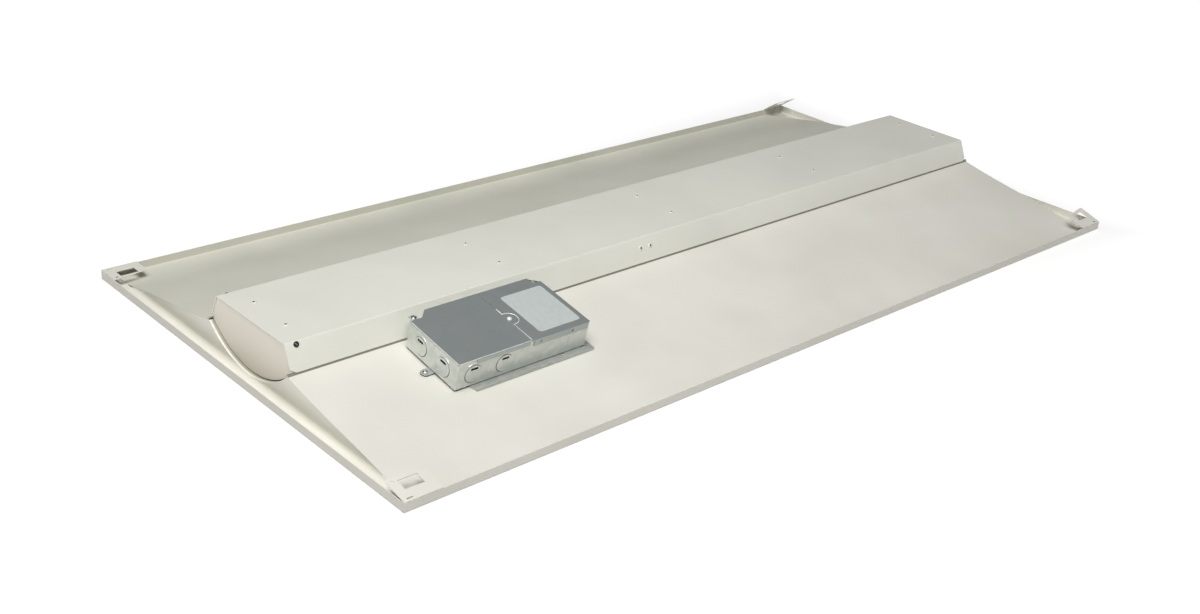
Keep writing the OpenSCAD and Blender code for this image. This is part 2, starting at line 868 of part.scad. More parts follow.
module driver_lid() {
    lip_a = box_width + gap;
    from_b = seam_b + seam_gap;
    color("#7c8482") box_frame() {
        translate([0, 0, lid_c]) linear_extrude(height = box_sheet) difference() {
            box_plan(0);
            translate([tongue_a - over, -over])
                square([box_width - tongue_a + over * 2, from_b + over]);
            translate([screw_a, screw_b]) circle(r = tab_r + seam_gap);
        }
        translate([box_width - box_sheet, from_b + cover_lip / 2, lid_c])
            cube([box_sheet * 2 + gap, box_length - from_b - cover_lip, box_sheet]);
        difference() {
            translate([lip_a, from_b + cover_lip / 2, box_height - lid_lip])
                cube([box_sheet, box_length - from_b - cover_lip, lid_lip]);
            for (b_share = [0.61, 0.86])
                translate([lip_a - over, box_length * b_share, box_height - lid_lip / 2])
                    rotate([0, 90, 0]) cylinder(r = base_screw_r, h = over * 2);
        }
    }
}

module base_screws() {
    color("#c9ccc8") box_frame() {
        translate([ear_a, -ear_b, box_sheet])
            screw(base_screw_head_r, base_screw_head, base_screw_r, box_sheet);
        translate([(tongue_a + shoulder_a) / 2, notch_ear_b + notch_ear_size / 2, notch_ear_c + box_sheet])
            screw(base_screw_head_r, base_screw_head, base_screw_r, over);
    }
}

// Driver and its wiring

module driver_feet_places() {
    for (side = [-1, 1])
        for (b = [driver_b - driver_foot[1] / 2, driver_b + driver_size[1] + driver_foot[1] / 2])
            translate([driver_a + driver_size[0] / 2 + side * driver_size[0] / 4, b, base_top]) children();
}

module driver_screw_holes() {
    driver_feet_places() translate([0, 0, -over])
        cylinder(r = base_screw_r + hole_gap, h = over * 2 + driver_foot[2]);
}

module led_driver() {
    color("#e9e9e6") box_frame() difference() {
        union() {
            translate([driver_a, driver_b, base_top]) cube(driver_size);
            driver_feet_places() translate([-driver_foot[0] / 2, -driver_foot[1] / 2, 0])
                cube(driver_foot);
        }
        driver_screw_holes();
    }
}

module driver_screws() {
    color("#b9bcbd") box_frame() driver_feet_places() translate([0, 0, driver_foot[2]])
        screw(base_screw_head_r, base_screw_head, base_screw_r, driver_foot[2] + box_sheet);
}

module supply_lead(a) {
    box_frame() lead_y([a, nut_b + nut_length / 2 + gap, supply_c], driver_b - nut_b - nut_length / 2 - gap * 2);
}

module lead_black() {
    color("#202020") supply_lead(supply_a[0]);
}

module lead_white() {
    color("#f0f0ec") supply_lead(supply_a[1]);
}

module lead_green() {
    start_b = ground_b + ground_head_r + gap;
    color("#2f8a45") box_frame() {
        lead_y([ground_a, start_b, ground_c], driver_b - start_b - gap);
        translate([ground_a, start_b, base_top]) rotate([-90, 0, 0])
            translate([-lead_r, -ground_c + base_top, 0]) cube([lead_r * 2, ground_c - base_top, lead_r * 2]);
        translate([ground_a, ground_b, base_top]) difference() {
            cylinder(r = ring_r + lead_r, h = ring_sheet);
            translate([0, 0, -over]) cylinder(r = ground_screw_r + hole_gap, h = over * 2);
        }
    }
}

module ground_screw() {
    color("#3f9a55") box_frame() translate([ground_a, ground_b, base_top + ring_sheet])
        screw(ground_head_r, ground_head, ground_screw_r, ring_sheet + box_sheet);
}

module wire_nuts() {
    color("#d9822b") box_frame() for (a = supply_a)
        translate([a, nut_b, supply_c]) rotate([-90, 0, 0]) difference() {
            cylinder(r1 = nut_tip_r, r2 = nut_wide_r, h = nut_length);
            translate([0, 0, nut_length / 2]) cylinder(r = lead_r + gap, h = nut_length);
        }
}

module output_lead(i) {
    b = sleeve_b + (i * 2 - 1) * lead_half;
    in_a = lead_in_a[i];
    run_a = lead_run_a[i];
    end_b = lead_end_b[i];
    c = sleeve_c;
    end_c = lead_end_c;
    box_frame() {
        lead_y([in_a, b + lead_bend, c], driver_b - b - lead_bend - gap);
        translate([in_a - lead_bend, b + lead_bend, c]) rotate([0, 0, -90]) lead_elbow();
        lead_x([run_a + lead_bend, b, c], in_a - run_a - lead_bend * 2);
        translate([run_a + lead_bend, b + lead_bend, c]) rotate([0, 0, 180]) lead_elbow();
        lead_y([run_a, b + lead_bend, c], end_b - b - lead_bend * 2);
        translate([run_a, end_b - lead_bend, c - lead_bend]) rotate([90, 0, 90]) lead_elbow();
        lead_z([run_a, end_b, end_c + lead_bend], c - end_c - lead_bend * 2);
        translate([run_a - lead_bend, end_b, end_c + lead_bend]) rotate([90, 90, 0]) lead_elbow();
        lead_x([lead_end_a, end_b, end_c], run_a - lead_bend - lead_end_a);
    }
}

module lead_red() {
    color("#b3261e") output_lead(0);
}

module lead_blue() {
    color("#2450a8") output_lead(1);
}

module lead_sleeve() {
    color("#d9d6cc") box_frame() translate([tongue_a + box_sheet, sleeve_b, sleeve_c])
        rotate([0, 90, 0]) difference() {
            union() {
                translate([0, 0, -sleeve_past - box_sheet]) cylinder(r = sleeve_r, h = sleeve_past + box_sheet);
                cylinder(r = sleeve_collar_r, h = sleeve_collar);
            }
            translate([0, 0, -sleeve_past - over]) cylinder(r = sleeve_bore, h = sleeve_past + over * 2);
        }
}

// Grid clips: a plate hinged on the top edge of the long lip, drawn in the far right corner

module clip(angle) {
    reach = clip_width;
    translate([clip_axis_x, half_l - gap, clip_axis_z]) rotate([0, angle, 0]) {
        translate([0, 0, -sheet / 2]) difference() {
            linear_extrude(height = sheet) polygon([
                [0, 0], [-reach, 0], [-reach, -clip_slant], [-reach + clip_slant * 0.8, -clip_length], [0, -clip_length]
            ]);
            translate([-clip_window_at[0] - clip_window[0], -clip_window_at[1] - clip_window[1], -over])
                cube([clip_window[0], clip_window[1], sheet + over * 2]);
            translate([-clip_slot_at[0] - clip_slot[0], -clip_slot_at[1] - clip_slot[1], -over])
                cube([clip_slot[0], clip_slot[1], sheet + over * 2]);
            translate([-clip_hole_at[0], -clip_hole_at[1], -over])
                cylinder(r = clip_hole_r, h = sheet + over * 2);
        }
        translate([0, -clip_length, 0]) rotate([-90, 0, 0]) cylinder(r = sheet / 2, h = clip_length);
    }
}

module clip_near_right() {
    color("#e0ddd2") mirror([0, 1, 0]) clip(clip_near_right_angle);
}

module clip_near_left() {
    color("#c9c6b5") mirror([1, 0, 0]) mirror([0, 1, 0]) clip(clip_near_left_angle);
}

module clip_far_right() {
    color("#dedbd0") clip(clip_far_right_angle);
}

module clip_far_left() {
    color("#dedbd0") mirror([1, 0, 0]) clip(clip_far_left_angle);
}

reflector_left();
reflector_right();
end_panel_near();
end_panel_far();
channel_cover();
channel_end_near();
channel_end_far();
lens();
gear_tray();
tray_rivets();
end_screws();
side_rivets();
lead_clamp();
led_board_1();
led_board_2();
led_board_3();
led_board_4();
led_chips();
board_screws();
board_connectors();
board_links();
driver_base();
driver_box();
knockouts();
wiring_cover();
cover_screw();
driver_lid();
base_screws();
led_driver();
driver_screws();
lead_black();
lead_white();
lead_green();
lead_red();
lead_blue();
wire_nuts();
ground_screw();
lead_sleeve();
clip_near_right();
clip_near_left();
clip_far_right();
clip_far_left();
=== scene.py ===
"""A recessed 2 ft x 4 ft troffer light, lying face down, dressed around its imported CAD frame.

Everything is in metres and in the CAD's own frame: X runs across the fixture, Y along it, and +Z points into
the ceiling void. Each sub-assembly is a class whose fields are its sizes and whose methods build its pieces.
"""

from __future__ import annotations

import logging
import math
import sys
from contextlib import contextmanager
from dataclasses import dataclass
from enum import Enum
from typing import Callable, Iterable, Iterator, Sequence

import bmesh
import bpy
from mathutils import Euler, Matrix, Vector


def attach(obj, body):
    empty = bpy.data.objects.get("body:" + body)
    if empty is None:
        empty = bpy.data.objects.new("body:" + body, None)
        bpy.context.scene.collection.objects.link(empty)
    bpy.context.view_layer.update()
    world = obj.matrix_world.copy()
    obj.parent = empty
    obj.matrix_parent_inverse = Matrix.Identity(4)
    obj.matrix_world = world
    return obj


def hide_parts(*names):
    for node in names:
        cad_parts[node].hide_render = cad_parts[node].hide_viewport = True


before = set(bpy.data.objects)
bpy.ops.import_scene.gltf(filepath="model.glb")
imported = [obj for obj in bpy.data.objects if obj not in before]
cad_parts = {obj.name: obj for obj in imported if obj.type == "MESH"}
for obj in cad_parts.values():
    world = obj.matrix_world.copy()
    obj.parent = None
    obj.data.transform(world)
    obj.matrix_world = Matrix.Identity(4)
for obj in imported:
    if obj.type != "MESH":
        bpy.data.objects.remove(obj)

MM = 0.001
SEED = 11
# Points closer than this are one point, in copies of CAD nodes and in what a tree thickens.
CAD_MERGE = 0.003 * MM
TREE_MERGE = 0.002 * MM
# Angles in degrees. Faces that lean less than the first to each other are one flat. Edges sharper than the
# others are rounded, are rounded in formed sheet and crisp on beads, or stay crisp in the shading elsewhere.
FLAT_ANGLE = 0.02
ROUNDED_ANGLE = 40
FORMED_ANGLE = 60
CRISP_ANGLE = 32
# Faces narrower than this are cut edges of a sheet.
CUT_EDGE = 1.6 * MM
BEND_STEPS = 5
# A plate's corners, and its rounded edge as a share of its thickness.
CORNER_STEPS = 6
PLATE_ROUND_SHARE = 0.3
# Octaves of noise: few in a broad drift, more in a fine grain, most in marks.
BROAD, FINE, MARKED = 2, 3, 4
# The Mix node's sockets for colours, and the Random Value node's for plain numbers.
MIX_LOW, MIX_HIGH, MIX_OUT = 6, 7, 2
LEAST, MOST, CHANCE = 2, 3, 1
PVC_ROUGHNESS = 0.38
PVC_GRAIN = 0.6 * MM
log = logging.getLogger("troffer")

Point = tuple[float, float]
Triple = tuple[float, float, float]
# A seat is a place and the Euler angles of what sits there.
Seat = tuple[Vector, Triple]
UPRIGHT: Triple = (0.0, 0.0, 0.0)
BMesh = bmesh.types.BMesh
Mesh = bpy.types.Mesh
Node = bpy.types.Node
Obj = bpy.types.Object
Socket = bpy.types.NodeSocket
Tree = bpy.types.NodeTree


class Body(Enum):
    """The CAD bodies that pieces ride on."""

    HOUSING = "housing"
    LENS = "lens"
    WIRING_COVER = "wiring_cover"
    DRIVER_LID = "driver_lid"
    CLIP_NEAR_RIGHT = "clip_near_right"
    CLIP_NEAR_LEFT = "clip_near_left"
    CLIP_FAR_RIGHT = "clip_far_right"
    CLIP_FAR_LEFT = "clip_far_left"


# Materials


def srgb(code: str) -> tuple[float, float, float, float]:
    """Turn an sRGB hex colour into linear RGBA.

    Args:
        code: A colour such as "#e6e3db".

    Returns:
        Linear red, green and blue, and full alpha.
    """
    shares = [int(code[i : i + 2], 16) / 255 for i in (1, 3, 5)]
    linear = [s / 12.92 if s <= 0.04045 else ((s + 0.055) / 1.055) ** 2.4 for s in shares]
    return linear[0], linear[1], linear[2], 1.0


def add_node(tree: Tree, kind: str, links: dict | None = None, **settings: object) -> Node:
    """Add a node, set its properties and fill its inputs.

    Args:
        tree: The node tree.
        kind: The node's type name.
        links: Input name or number to a value or to another node's output socket.
        settings: The node's own properties.

    Returns:
        The new node.
    """
    node = tree.nodes.new(kind)
    for name, value in settings.items():
        setattr(node, name, value)
    for name, value in (links or {}).items():
        socket = node.inputs[name]
        if isinstance(value, Socket):
            tree.links.new(value, socket)
        else:
            socket.default_value = value
    return node


@dataclass(frozen=True)
class Finish:
    """One procedural material, made at its first use and shared by every piece that carries it."""

    name: str
    colour: str
    roughness: float
    low: str

    def material(self) -> bpy.types.Material:
        """Make the finish's material, or find it if it has been made.

        Returns:
            The material.
        """
        made = bpy.data.materials.get(self.name)
        if made is None:
            made = bpy.data.materials.new(self.name)
            made.use_nodes = True
            tree = made.node_tree
            tree.nodes.clear()
            where = add_node(tree, "ShaderNodeTexCoord").outputs["Object"]
            shader = add_node(tree, "ShaderNodeBsdfPrincipled")
            self.dress(tree, shader, where)
            add_node(tree, "ShaderNodeOutputMaterial", {"Surface": shader.outputs["BSDF"]})
        return made

    def dress(self, tree: Tree, shader: Node, where: Socket) -> None:
        """Set the shader up; each kind of finish has its own way.

        Args:
            tree: The material's node tree.
            shader: Its Principled node.
            where: Object coordinates, in metres.
        """
        raise NotImplementedError

    def lay(
        self,
        tree: Tree,
        shader: Node,
        patterns: tuple[Socket, Socket, Socket],
        dulled: Point,
        depth: float,
        span: Point = (0.3, 0.7),
    ) -> None:
        """Let three patterns from 0 to 1 drive the colour, the gloss and the relief.

        Args:
            tree: The material's node tree.
            shader: Its Principled node.
            patterns: The patterns of the colour, the gloss and the relief.
            dulled: What is added to the roughness where the gloss's pattern is low, and where it is high.
            depth: How far the relief's pattern raises the surface.
            span: What counts as low and as high, for colour and gloss.
        """
        tint, gloss, height = patterns
        ramp = {"From Min": span[0], "From Max": span[1]}
        share = add_node(tree, "ShaderNodeMapRange", {"Value": tint, **ramp}).outputs["Result"]
        ends = {0: share, MIX_LOW: srgb(self.low), MIX_HIGH: srgb(self.colour)}
        colour = add_node(tree, "ShaderNodeMix", ends, data_type="RGBA").outputs[MIX_OUT]
        reach = {"To Min": self.roughness + dulled[0], "To Max": self.roughness + dulled[1]}
        dull = add_node(tree, "ShaderNodeMapRange", {"Value": gloss, **ramp, **reach}).outputs["Result"]
        raised = add_node(tree, "ShaderNodeBump", {"Height": height, "Distance": depth}).outputs["Normal"]
        for source, name in ((colour, "Base Color"), (dull, "Roughness"), (raised, "Normal")):
            tree.links.new(source, shader.inputs[name])


@dataclass(frozen=True)
class Grained(Finish):
    """A finish whose colour drifts broadly, while its gloss and relief follow a fine grain."""

    # A mould's real texture is too fine to show in the render, so it is drawn coarser.
    grain: float = 0.8 * MM
    depth: float = 0.015 * MM
    gloss_drift: float = 0.05
    index: float = 1.5

    def drift(self) -> float:
        """Return the size of the colour's drift."""
        raise NotImplementedError

    def dress(self, tree: Tree, shader: Node, where: Socket) -> None:
        """Lay the drift and the grain.

        Args:
            tree: The material's node tree.
            shader: Its Principled node.
            where: Object coordinates, in metres.
        """
        broad, fine = (
            add_node(tree, "ShaderNodeTexNoise", {"Vector": where, "Scale": 1 / size, "Detail": octaves})
            for size, octaves in ((self.drift(), BROAD), (self.grain, FINE))
        )
        patterns = (broad.outputs["Fac"], fine.outputs["Fac"], fine.outputs["Fac"])
        self.lay(tree, shader, patterns, (-self.gloss_drift, self.gloss_drift), self.depth)
        shader.inputs["IOR"].default_value = self.index


@dataclass(frozen=True)
class PowderCoat(Grained):
    """Polyester powder baked on steel: satin, with a fine orange peel and a faint drift in thickness."""

    # The peel keeps about its real size, which is a pixel or two in the render.
    grain: float = 1.6 * MM
    depth: float = 0.025 * MM
    gloss_drift: float = 0.04
    thickness_drift: float = 120 * MM

    def drift(self) -> float:
        """Return the size of the drift in thickness."""
        return self.thickness_drift


@dataclass(frozen=True)
class Plastic(Grained):
    """Moulded or extruded plastic: one colour through, with a fine mould texture that breaks the gloss."""

    drift_grains: float = 14

    def drift(self) -> float:
        """Return the size of the colour's drift, which goes with the grain."""
        return self.grain * self.drift_grains


@dataclass(frozen=True)
class SpangledZinc(Finish):
    """Hot-dip galvanised sheet: frozen zinc crystals, each with its own grey and gloss, under a thin white
    oxide film that scatters a part of the light as paint does."""

    spangle: float = 7 * MM
    bend_size_share: float = 0.6
    bend_reach_share: float = 0.5
    # The film's real grain is too fine to show in the render, so it is drawn coarser.
    skin: float = 0.9 * MM
    skin_depth: float = 0.008 * MM
    bare: float = 0.6
    spread: float = 0.06

    def dress(self, tree: Tree, shader: Node, where: Socket) -> None:
        """Lay the crystals as cells, bent a little so that their borders aren't straight.

        Args:
            tree: The material's node tree.
            shader: Its Principled node.
            where: Object coordinates, in metres.
        """
        swirl = {"Vector": where, "Scale": 1 / (self.spangle * self.bend_size_share), "Detail": BROAD}
        bend = add_node(tree, "ShaderNodeTexNoise", swirl).outputs["Color"]
        shift = {0: bend, 1: (self.spangle * self.bend_reach_share,) * 3, 2: where}
        moved = add_node(tree, "ShaderNodeVectorMath", shift, operation="MULTIPLY_ADD").outputs[0]
        cells = add_node(tree, "ShaderNodeTexVoronoi", {"Vector": moved, "Scale": 1 / self.spangle})
        tones = add_node(tree, "ShaderNodeSeparateColor", {"Color": cells.outputs["Color"]}).outputs
        film = {"Vector": where, "Scale": 1 / self.skin, "Detail": FINE}
        grain = add_node(tree, "ShaderNodeTexNoise", film).outputs["Fac"]
        patterns = (tones["Red"], tones["Green"], grain)
        self.lay(tree, shader, patterns, (-self.spread, self.spread), self.skin_depth, (0.0, 1.0))
        shader.inputs["Metallic"].default_value = self.bare


@dataclass(frozen=True)
class PlatedSteel(Finish):
    """Electroplated fasteners: an even metal film with faint tumbling marks."""

    # Real tumbling marks are too fine to show in the render, so they are drawn coarser.
    grain: float = 0.7 * MM
    mark_depth: float = 0.01 * MM
    dulled: float = 0.1

    def dress(self, tree: Tree, shader: Node, where: Socket) -> None:
        """Let the tumbling marks drive colour, gloss and relief.

        Args:
            tree: The material's node tree.
            shader: Its Principled node.
            where: Object coordinates, in metres.
        """
        scatter = {"Vector": where, "Scale": 1 / self.grain, "Detail": MARKED}
        marks = add_node(tree, "ShaderNodeTexNoise", scatter).outputs["Fac"]
        self.lay(tree, shader, (marks, marks, marks), (self.dulled, 0.0), self.mark_depth)
        shader.inputs["Metallic"].default_value = 1.0


@dataclass(frozen=True)
class FrostedAcrylic(Plastic):
    """Extruded opal acrylic: it lets light through, but scatters it until nothing behind has an edge."""

    clear: float = 0.35
    milk: float = 0.3
    milk_reach: float = 2 * MM

    def dress(self, tree: Tree, shader: Node, where: Socket) -> None:
        """Dress it as plastic, with a milky body that light passes through.

        Args:
            tree: The material's node tree.
            shader: Its Principled node.
            where: Object coordinates, in metres.
        """
        super().dress(tree, shader, where)
        shader.inputs["Transmission Weight"].default_value = self.clear
        shader.inputs["Subsurface Weight"].default_value = self.milk
        shader.inputs["Subsurface Scale"].default_value = self.milk_reach


@dataclass(frozen=True)
class GlowingFloor(Plastic):
    """A backlit acrylic sheet, as product tables have: it stays white to its edge and keeps a soft contact
    shadow. What stands on it masks the light below."""

    glow: float = 0.44
    far_glow: float = 1.0
    reach: float = 300 * MM
    mask: Triple = (301.5 * MM, 606.5 * MM, 1.0)
    mask_edge: float = 3 * MM

    def dress(self, tree: Tree, shader: Node, where: Socket) -> None:
        """Dress it as plastic, and light it from within: not under the mask, and more the farther from it.

        Args:
            tree: The material's node tree.
            shader: Its Principled node.
            where: Object coordinates, in metres.
        """
        super().dress(tree, shader, where)
        shader.inputs["Emission Color"].default_value = srgb("#ffffff")
        mirrored = add_node(tree, "ShaderNodeVectorMath", {0: where}, operation="ABSOLUTE").outputs["Vector"]
        beyond = {0: mirrored, 1: self.mask}
        past = add_node(tree, "ShaderNodeVectorMath", beyond, operation="SUBTRACT").outputs[0]
        sides = add_node(tree, "ShaderNodeSeparateXYZ", {0: past}).outputs
        both = {0: sides["X"], 1: sides["Y"]}
        away = add_node(tree, "ShaderNodeMath", both, operation="MAXIMUM").outputs[0]
        shares = [
            add_node(tree, "ShaderNodeMapRange", {"Value": away, **ramp}).outputs["Result"]
            for ramp in (
                {"From Min": 0.0, "From Max": self.reach, "To Min": self.glow, "To Max": self.far_glow},
                {"From Min": -self.mask_edge, "From Max": 0.0},
            )
        ]
        light = add_node(tree, "ShaderNodeMath", dict(enumerate(shares)), operation="MULTIPLY").outputs[0]
        tree.links.new(light, shader.inputs["Emission Strength"])


# Finishes, each with its name, its colour, its roughness and the colour in the lows of its pattern

# Powder coat on the reflectors, end panels and clips reads as a warm, satin white.
REFLECTOR_COAT = PowderCoat("powder_coat_reflector_white", "#dbd9d0", 0.42, "#d3d1c7")
# The left wing's coat is drawn a shade greener and greyer than the right one's: painted shade, for the key
# light that reaches it less.
LEFT_WING_PAINTED_SHADE_COAT = PowderCoat("powder_coat_reflector_greyer_white", "#cecdc1", 0.42, "#c6c6b9")
# The channel's coat comes from another batch: a shade greener and greyer.
CHANNEL_COAT = PowderCoat("powder_coat_channel_white", "#dadad0", 0.42, "#d3d3c9")
# The end panels' coat is warmer, and a little thicker in its bends.
END_COAT = PowderCoat("powder_coat_end_white", "#e0ded3", 0.45, "#d9d7cc")
# The D-shaped plates come from another coater: a shade pinker.
PLATE_COAT = PowderCoat("powder_coat_plate_pinkish_white", "#dad4c7", 0.45, "#d3cdbf")
# The lips all round are coloured a little darker than the faces: painted shade on their upright outer faces.
LIP_PAINTED_SHADE_COAT = PowderCoat("powder_coat_thin_on_lips", "#c6c3ba", 0.45, "#c0bdb3")
# The knee that shows in the crack under the channel's foot is coloured dark: painted shadow, the darkest line
# on the shell.
# The inner half of the flange round the D-shaped plate is coloured darker too: painted shade beside the
# plate.
SEAM_PAINTED_SHADOW_COAT = PowderCoat("powder_coat_starved_in_crack", "#878375", 0.6, "#7f7b6d")
ARC_PAINTED_SHADE_COAT = PowderCoat("powder_coat_thin_in_arc", "#aaa596", 0.5, "#a29d8e")
# Blind rivets get the channel's coat after they are set, so only their snapped stems stay dark.
RIVET_COAT = PowderCoat("powder_coat_on_aluminium_rivets", "#dadad0", 0.42, "#d6d4ca", grain=0.9 * MM)
RIVET_STEM = PlatedSteel("oxidised_rivet_stems", "#3a302a", 0.6, "#241e1a")
# Galvanised sheet of the driver box: light grey crystals on the walls, a duller base, and a bluer, darker
# sheet with large crystals on the covers.
BASE_ZINC = SpangledZinc("hot_dip_galvanised_base", "#bfc2bd", 0.42, "#b0b4ae", bare=0.5, spread=0.035)
BOX_ZINC = SpangledZinc("hot_dip_galvanised_walls", "#dee1dc", 0.42, "#cfd4ce", bare=0.45, spread=0.035)
COVER_ZINC = SpangledZinc(
    "hot_dip_galvanised_covers", "#b3b9b7", 0.42, "#afb7b6", spangle=16 * MM, bare=0.7, spread=0.015
)
# The base's edge in the slit at the box's foot and the sides of its pry slots are coloured dark grey: painted
# shade.
FOOT_AND_SLOT_SHADE_ZINC = PlatedSteel("zinc_dross_in_foot", "#5a5b55", 0.7, "#474843")
# The covers' sheared edges are beads coloured near white: painted highlight, the brightest lines on the box.
EDGE_HIGHLIGHT_ZINC = SpangledZinc("fresh_sheared_zinc_edges", "#f4f6f4", 0.45, "#e9ecea", spangle=3 * MM, bare=0.3)
# Bright zinc plate on screws glints; the black and the dyed green films only shine a little.
BRIGHT_ZINC = PlatedSteel("bright_zinc_plate", "#d4d7d6", 0.25, "#8b8f90")
BLACK_ZINC = PlatedSteel("black_zinc_plate", "#4c4a47", 0.4, "#2f2e2c")
GREEN_ZINC = PlatedSteel("green_dyed_zinc_plate", "#3f9a55", 0.35, "#2b7340")
# The cover's screw is coloured near white: painted highlight on its head.
SCREW_HIGHLIGHT_ZINC = SpangledZinc("milky_new_zinc_plate", "#f0f0ea", 0.4, "#e2e2dc", spangle=2 * MM, bare=0.35)
# Opal acrylic reads as a soft, even white without a hard reflection.
LENS_ACRYLIC = FrostedAcrylic("extruded_opal_acrylic", "#f4f3ee", 0.42, "#efeee8", index=1.49)
# White solder mask is a thin glossy ink, and the boards' glass cloth shows through it as a faint weave.
SOLDER_MASK = Plastic("white_solder_mask", "#f1f1ec", 0.3, "#e6e6df", grain=0.5 * MM)
# A lamp chip is a matt white case round a drop of glossy yellow phosphor gel.
PHOSPHOR = Plastic("phosphor_silicone_gel", "#f0d878", 0.25, "#e6c65c", grain=0.4 * MM, index=1.41)
CHIP_CASE = Plastic("moulded_chip_case", "#f2f0e8", 0.4, "#e4e1d6", grain=0.3 * MM)
# Moulded nylon and splice caps have a dull sheen, creamy, black or orange.
NYLON_NATURAL = Plastic("moulded_natural_nylon", "#e9e5d8", 0.45, "#dcd7c6")
NYLON_BLACK = Plastic("moulded_black_nylon", "#2b2b2b", 0.5, "#1f1f1f")
SPLICE_CAP = Plastic("moulded_splice_cap", "#d9822b", 0.4, "#c06f20")
# The bare label film is a flat light grey, smoother than the zinc round it.
LABEL_FILM = Plastic("blank_vinyl_label", "#b9bfbc", 0.4, "#b3b9b6", grain=0.4 * MM, depth=0.004 * MM)
# The driver's case has a cooler, finer coat than the fixture.
DRIVER_COAT = PowderCoat("driver_case_coat", "#ecece9", 0.38, "#e2e2de", grain=0.9 * MM)
# The floor sheet's real grain is too fine to show in the render, so it is drawn far coarser.
STUDIO_FLOOR = GlowingFloor("pale_studio_floor", "#c8c8c7", 0.85, "#c4c4c3", grain=40 * MM, depth=0.01 * MM)


class Insulation(Enum):
    """Colours of the leads' PVC insulation, extruded and slightly waxy."""

    BLACK = ("#262626", "#1b1b1b")
    WHITE = ("#eeeeea", "#e0e0da")
    GREEN = ("#2f8a45", "#257038")
    RED = ("#b3261e", "#961c16")
    BLUE = ("#2450a8", "#1c418c")

    def finish(self) -> Finish:
        """Return the insulation's finish."""
        name, (colour, low) = "pvc_insulation_" + self.name.lower(), self.value
        return Plastic(name, colour, PVC_ROUGHNESS, low, grain=PVC_GRAIN)


# Mesh tools


def new_object(name: str, mesh: Mesh) -> Obj:
    """Put a mesh into the scene as an object at the origin.

    Args:
        name: The object's name.
        mesh: Its mesh.

    Returns:
        The object.
    """
    made = bpy.data.objects.new(name, mesh)
    bpy.context.scene.collection.objects.link(made)
    return made


def mesh_object(name: str, bm: BMesh) -> Obj:
    """Turn a finished bmesh into an object, and free it.

    Args:
        name: The object's name.
        bm: The bmesh.

    Returns:
        The object.
    """
    mesh = bpy.data.meshes.new(name)
    bm.to_mesh(mesh)
    bm.free()
    return new_object(name, mesh)


@contextmanager
def edited(mesh: Mesh) -> Iterator[BMesh]:
    """Open a mesh for editing, and write it back at the end.

    Args:
        mesh: The mesh.

    Returns:
        Its bmesh, for the time of the editing.
    """
    bm = bmesh.new()
    bm.from_mesh(mesh)
    yield bm
    bm.to_mesh(mesh)
    bm.free()


def finished_mesh(shape: Obj, whole: bool = False) -> Mesh:
    """Take the mesh that a shape's modifiers or curve make.

    Args:
        shape: The shape.
        whole: Whether the mesh keeps all its data layers.

    Returns:
        The mesh.
    """
    graph = bpy.context.evaluated_depsgraph_get()
    live = shape.evaluated_get(graph)
    return bpy.data.meshes.new_from_object(live, preserve_all_data_layers=whole, depsgraph=graph)


def shaded(piece: Obj, crisp: float = CRISP_ANGLE) -> Obj:
    """Shade a piece smooth, but for its sharper edges.

    Args:
        piece: The object.
        crisp: Edges sharper than this stay crisp, in degrees.

    Returns:
        The same object.
    """
    piece.data.polygons.foreach_set("use_smooth", [True] * len(piece.data.polygons))
    piece.data.set_sharp_from_angle(angle=math.radians(crisp))
    return piece


def settled(piece: Obj, crisp: float = CRISP_ANGLE) -> Obj:
    """Replace a piece's modifiers by the plain mesh that they make, and shade it.

    Args:
        piece: The object.
        crisp: Edges sharper than this stay crisp, in degrees.

    Returns:
        The same object with a plain mesh.
    """
    mesh = finished_mesh(piece, True)
    piece.modifiers.clear()
    piece.data = mesh
    return shaded(piece, crisp)


def bevelled(
    piece: Obj, width: float, segments: int = 2, angle: float = ROUNDED_ANGLE, weighed: bool = False
) -> Obj:
    """Round a piece's edges and even out the normals of its flats.

    Args:
        piece: The object.
        width: How far the round reaches on each side of an edge.
        segments: Steps of the round.
        angle: Edges sharper than this are rounded, in degrees.
        weighed: Whether edges carry weights that scale their round.

    Returns:
        The same object with a plain mesh.
    """
    rounding = piece.modifiers.new("edges", "BEVEL")
    rounding.width = width
    rounding.segments = segments
    rounding.limit_method = "WEIGHT" if weighed else "ANGLE"
    rounding.angle_limit = math.radians(angle)
    rounding.use_clamp_overlap = False
    rounding.harden_normals = False
    settled(piece)
    piece.modifiers.new("flats", "WEIGHTED_NORMAL").keep_sharp = True
    mesh = finished_mesh(piece)
    piece.modifiers.clear()
    piece.data = mesh
    return piece


def mark_folds(mesh: Mesh, fold: float, cut: float) -> None:
    """Weigh a sheet's edges for the bevel, so that its folds get a wide round and its cut edges a slight one.

    Args:
        mesh: The sheet.
        fold: The round on a fold.
        cut: The round on a cut edge.
    """
    with edited(mesh) as bm:
        weights = bm.edges.layers.float.new("bevel_weight_edge")
        for edge in bm.edges:
            if edge.is_manifold and edge.calc_face_angle(0) > math.radians(ROUNDED_ANGLE):
                length = edge.calc_length()
                width = min(face.calc_area() for face in edge.link_faces) / max(length, CAD_MERGE)
                broad = width > CUT_EDGE and length > CUT_EDGE * 4
                edge[weights] = 1.0 if broad and edge.calc_face_angle_signed(0) > 0 else cut / fold


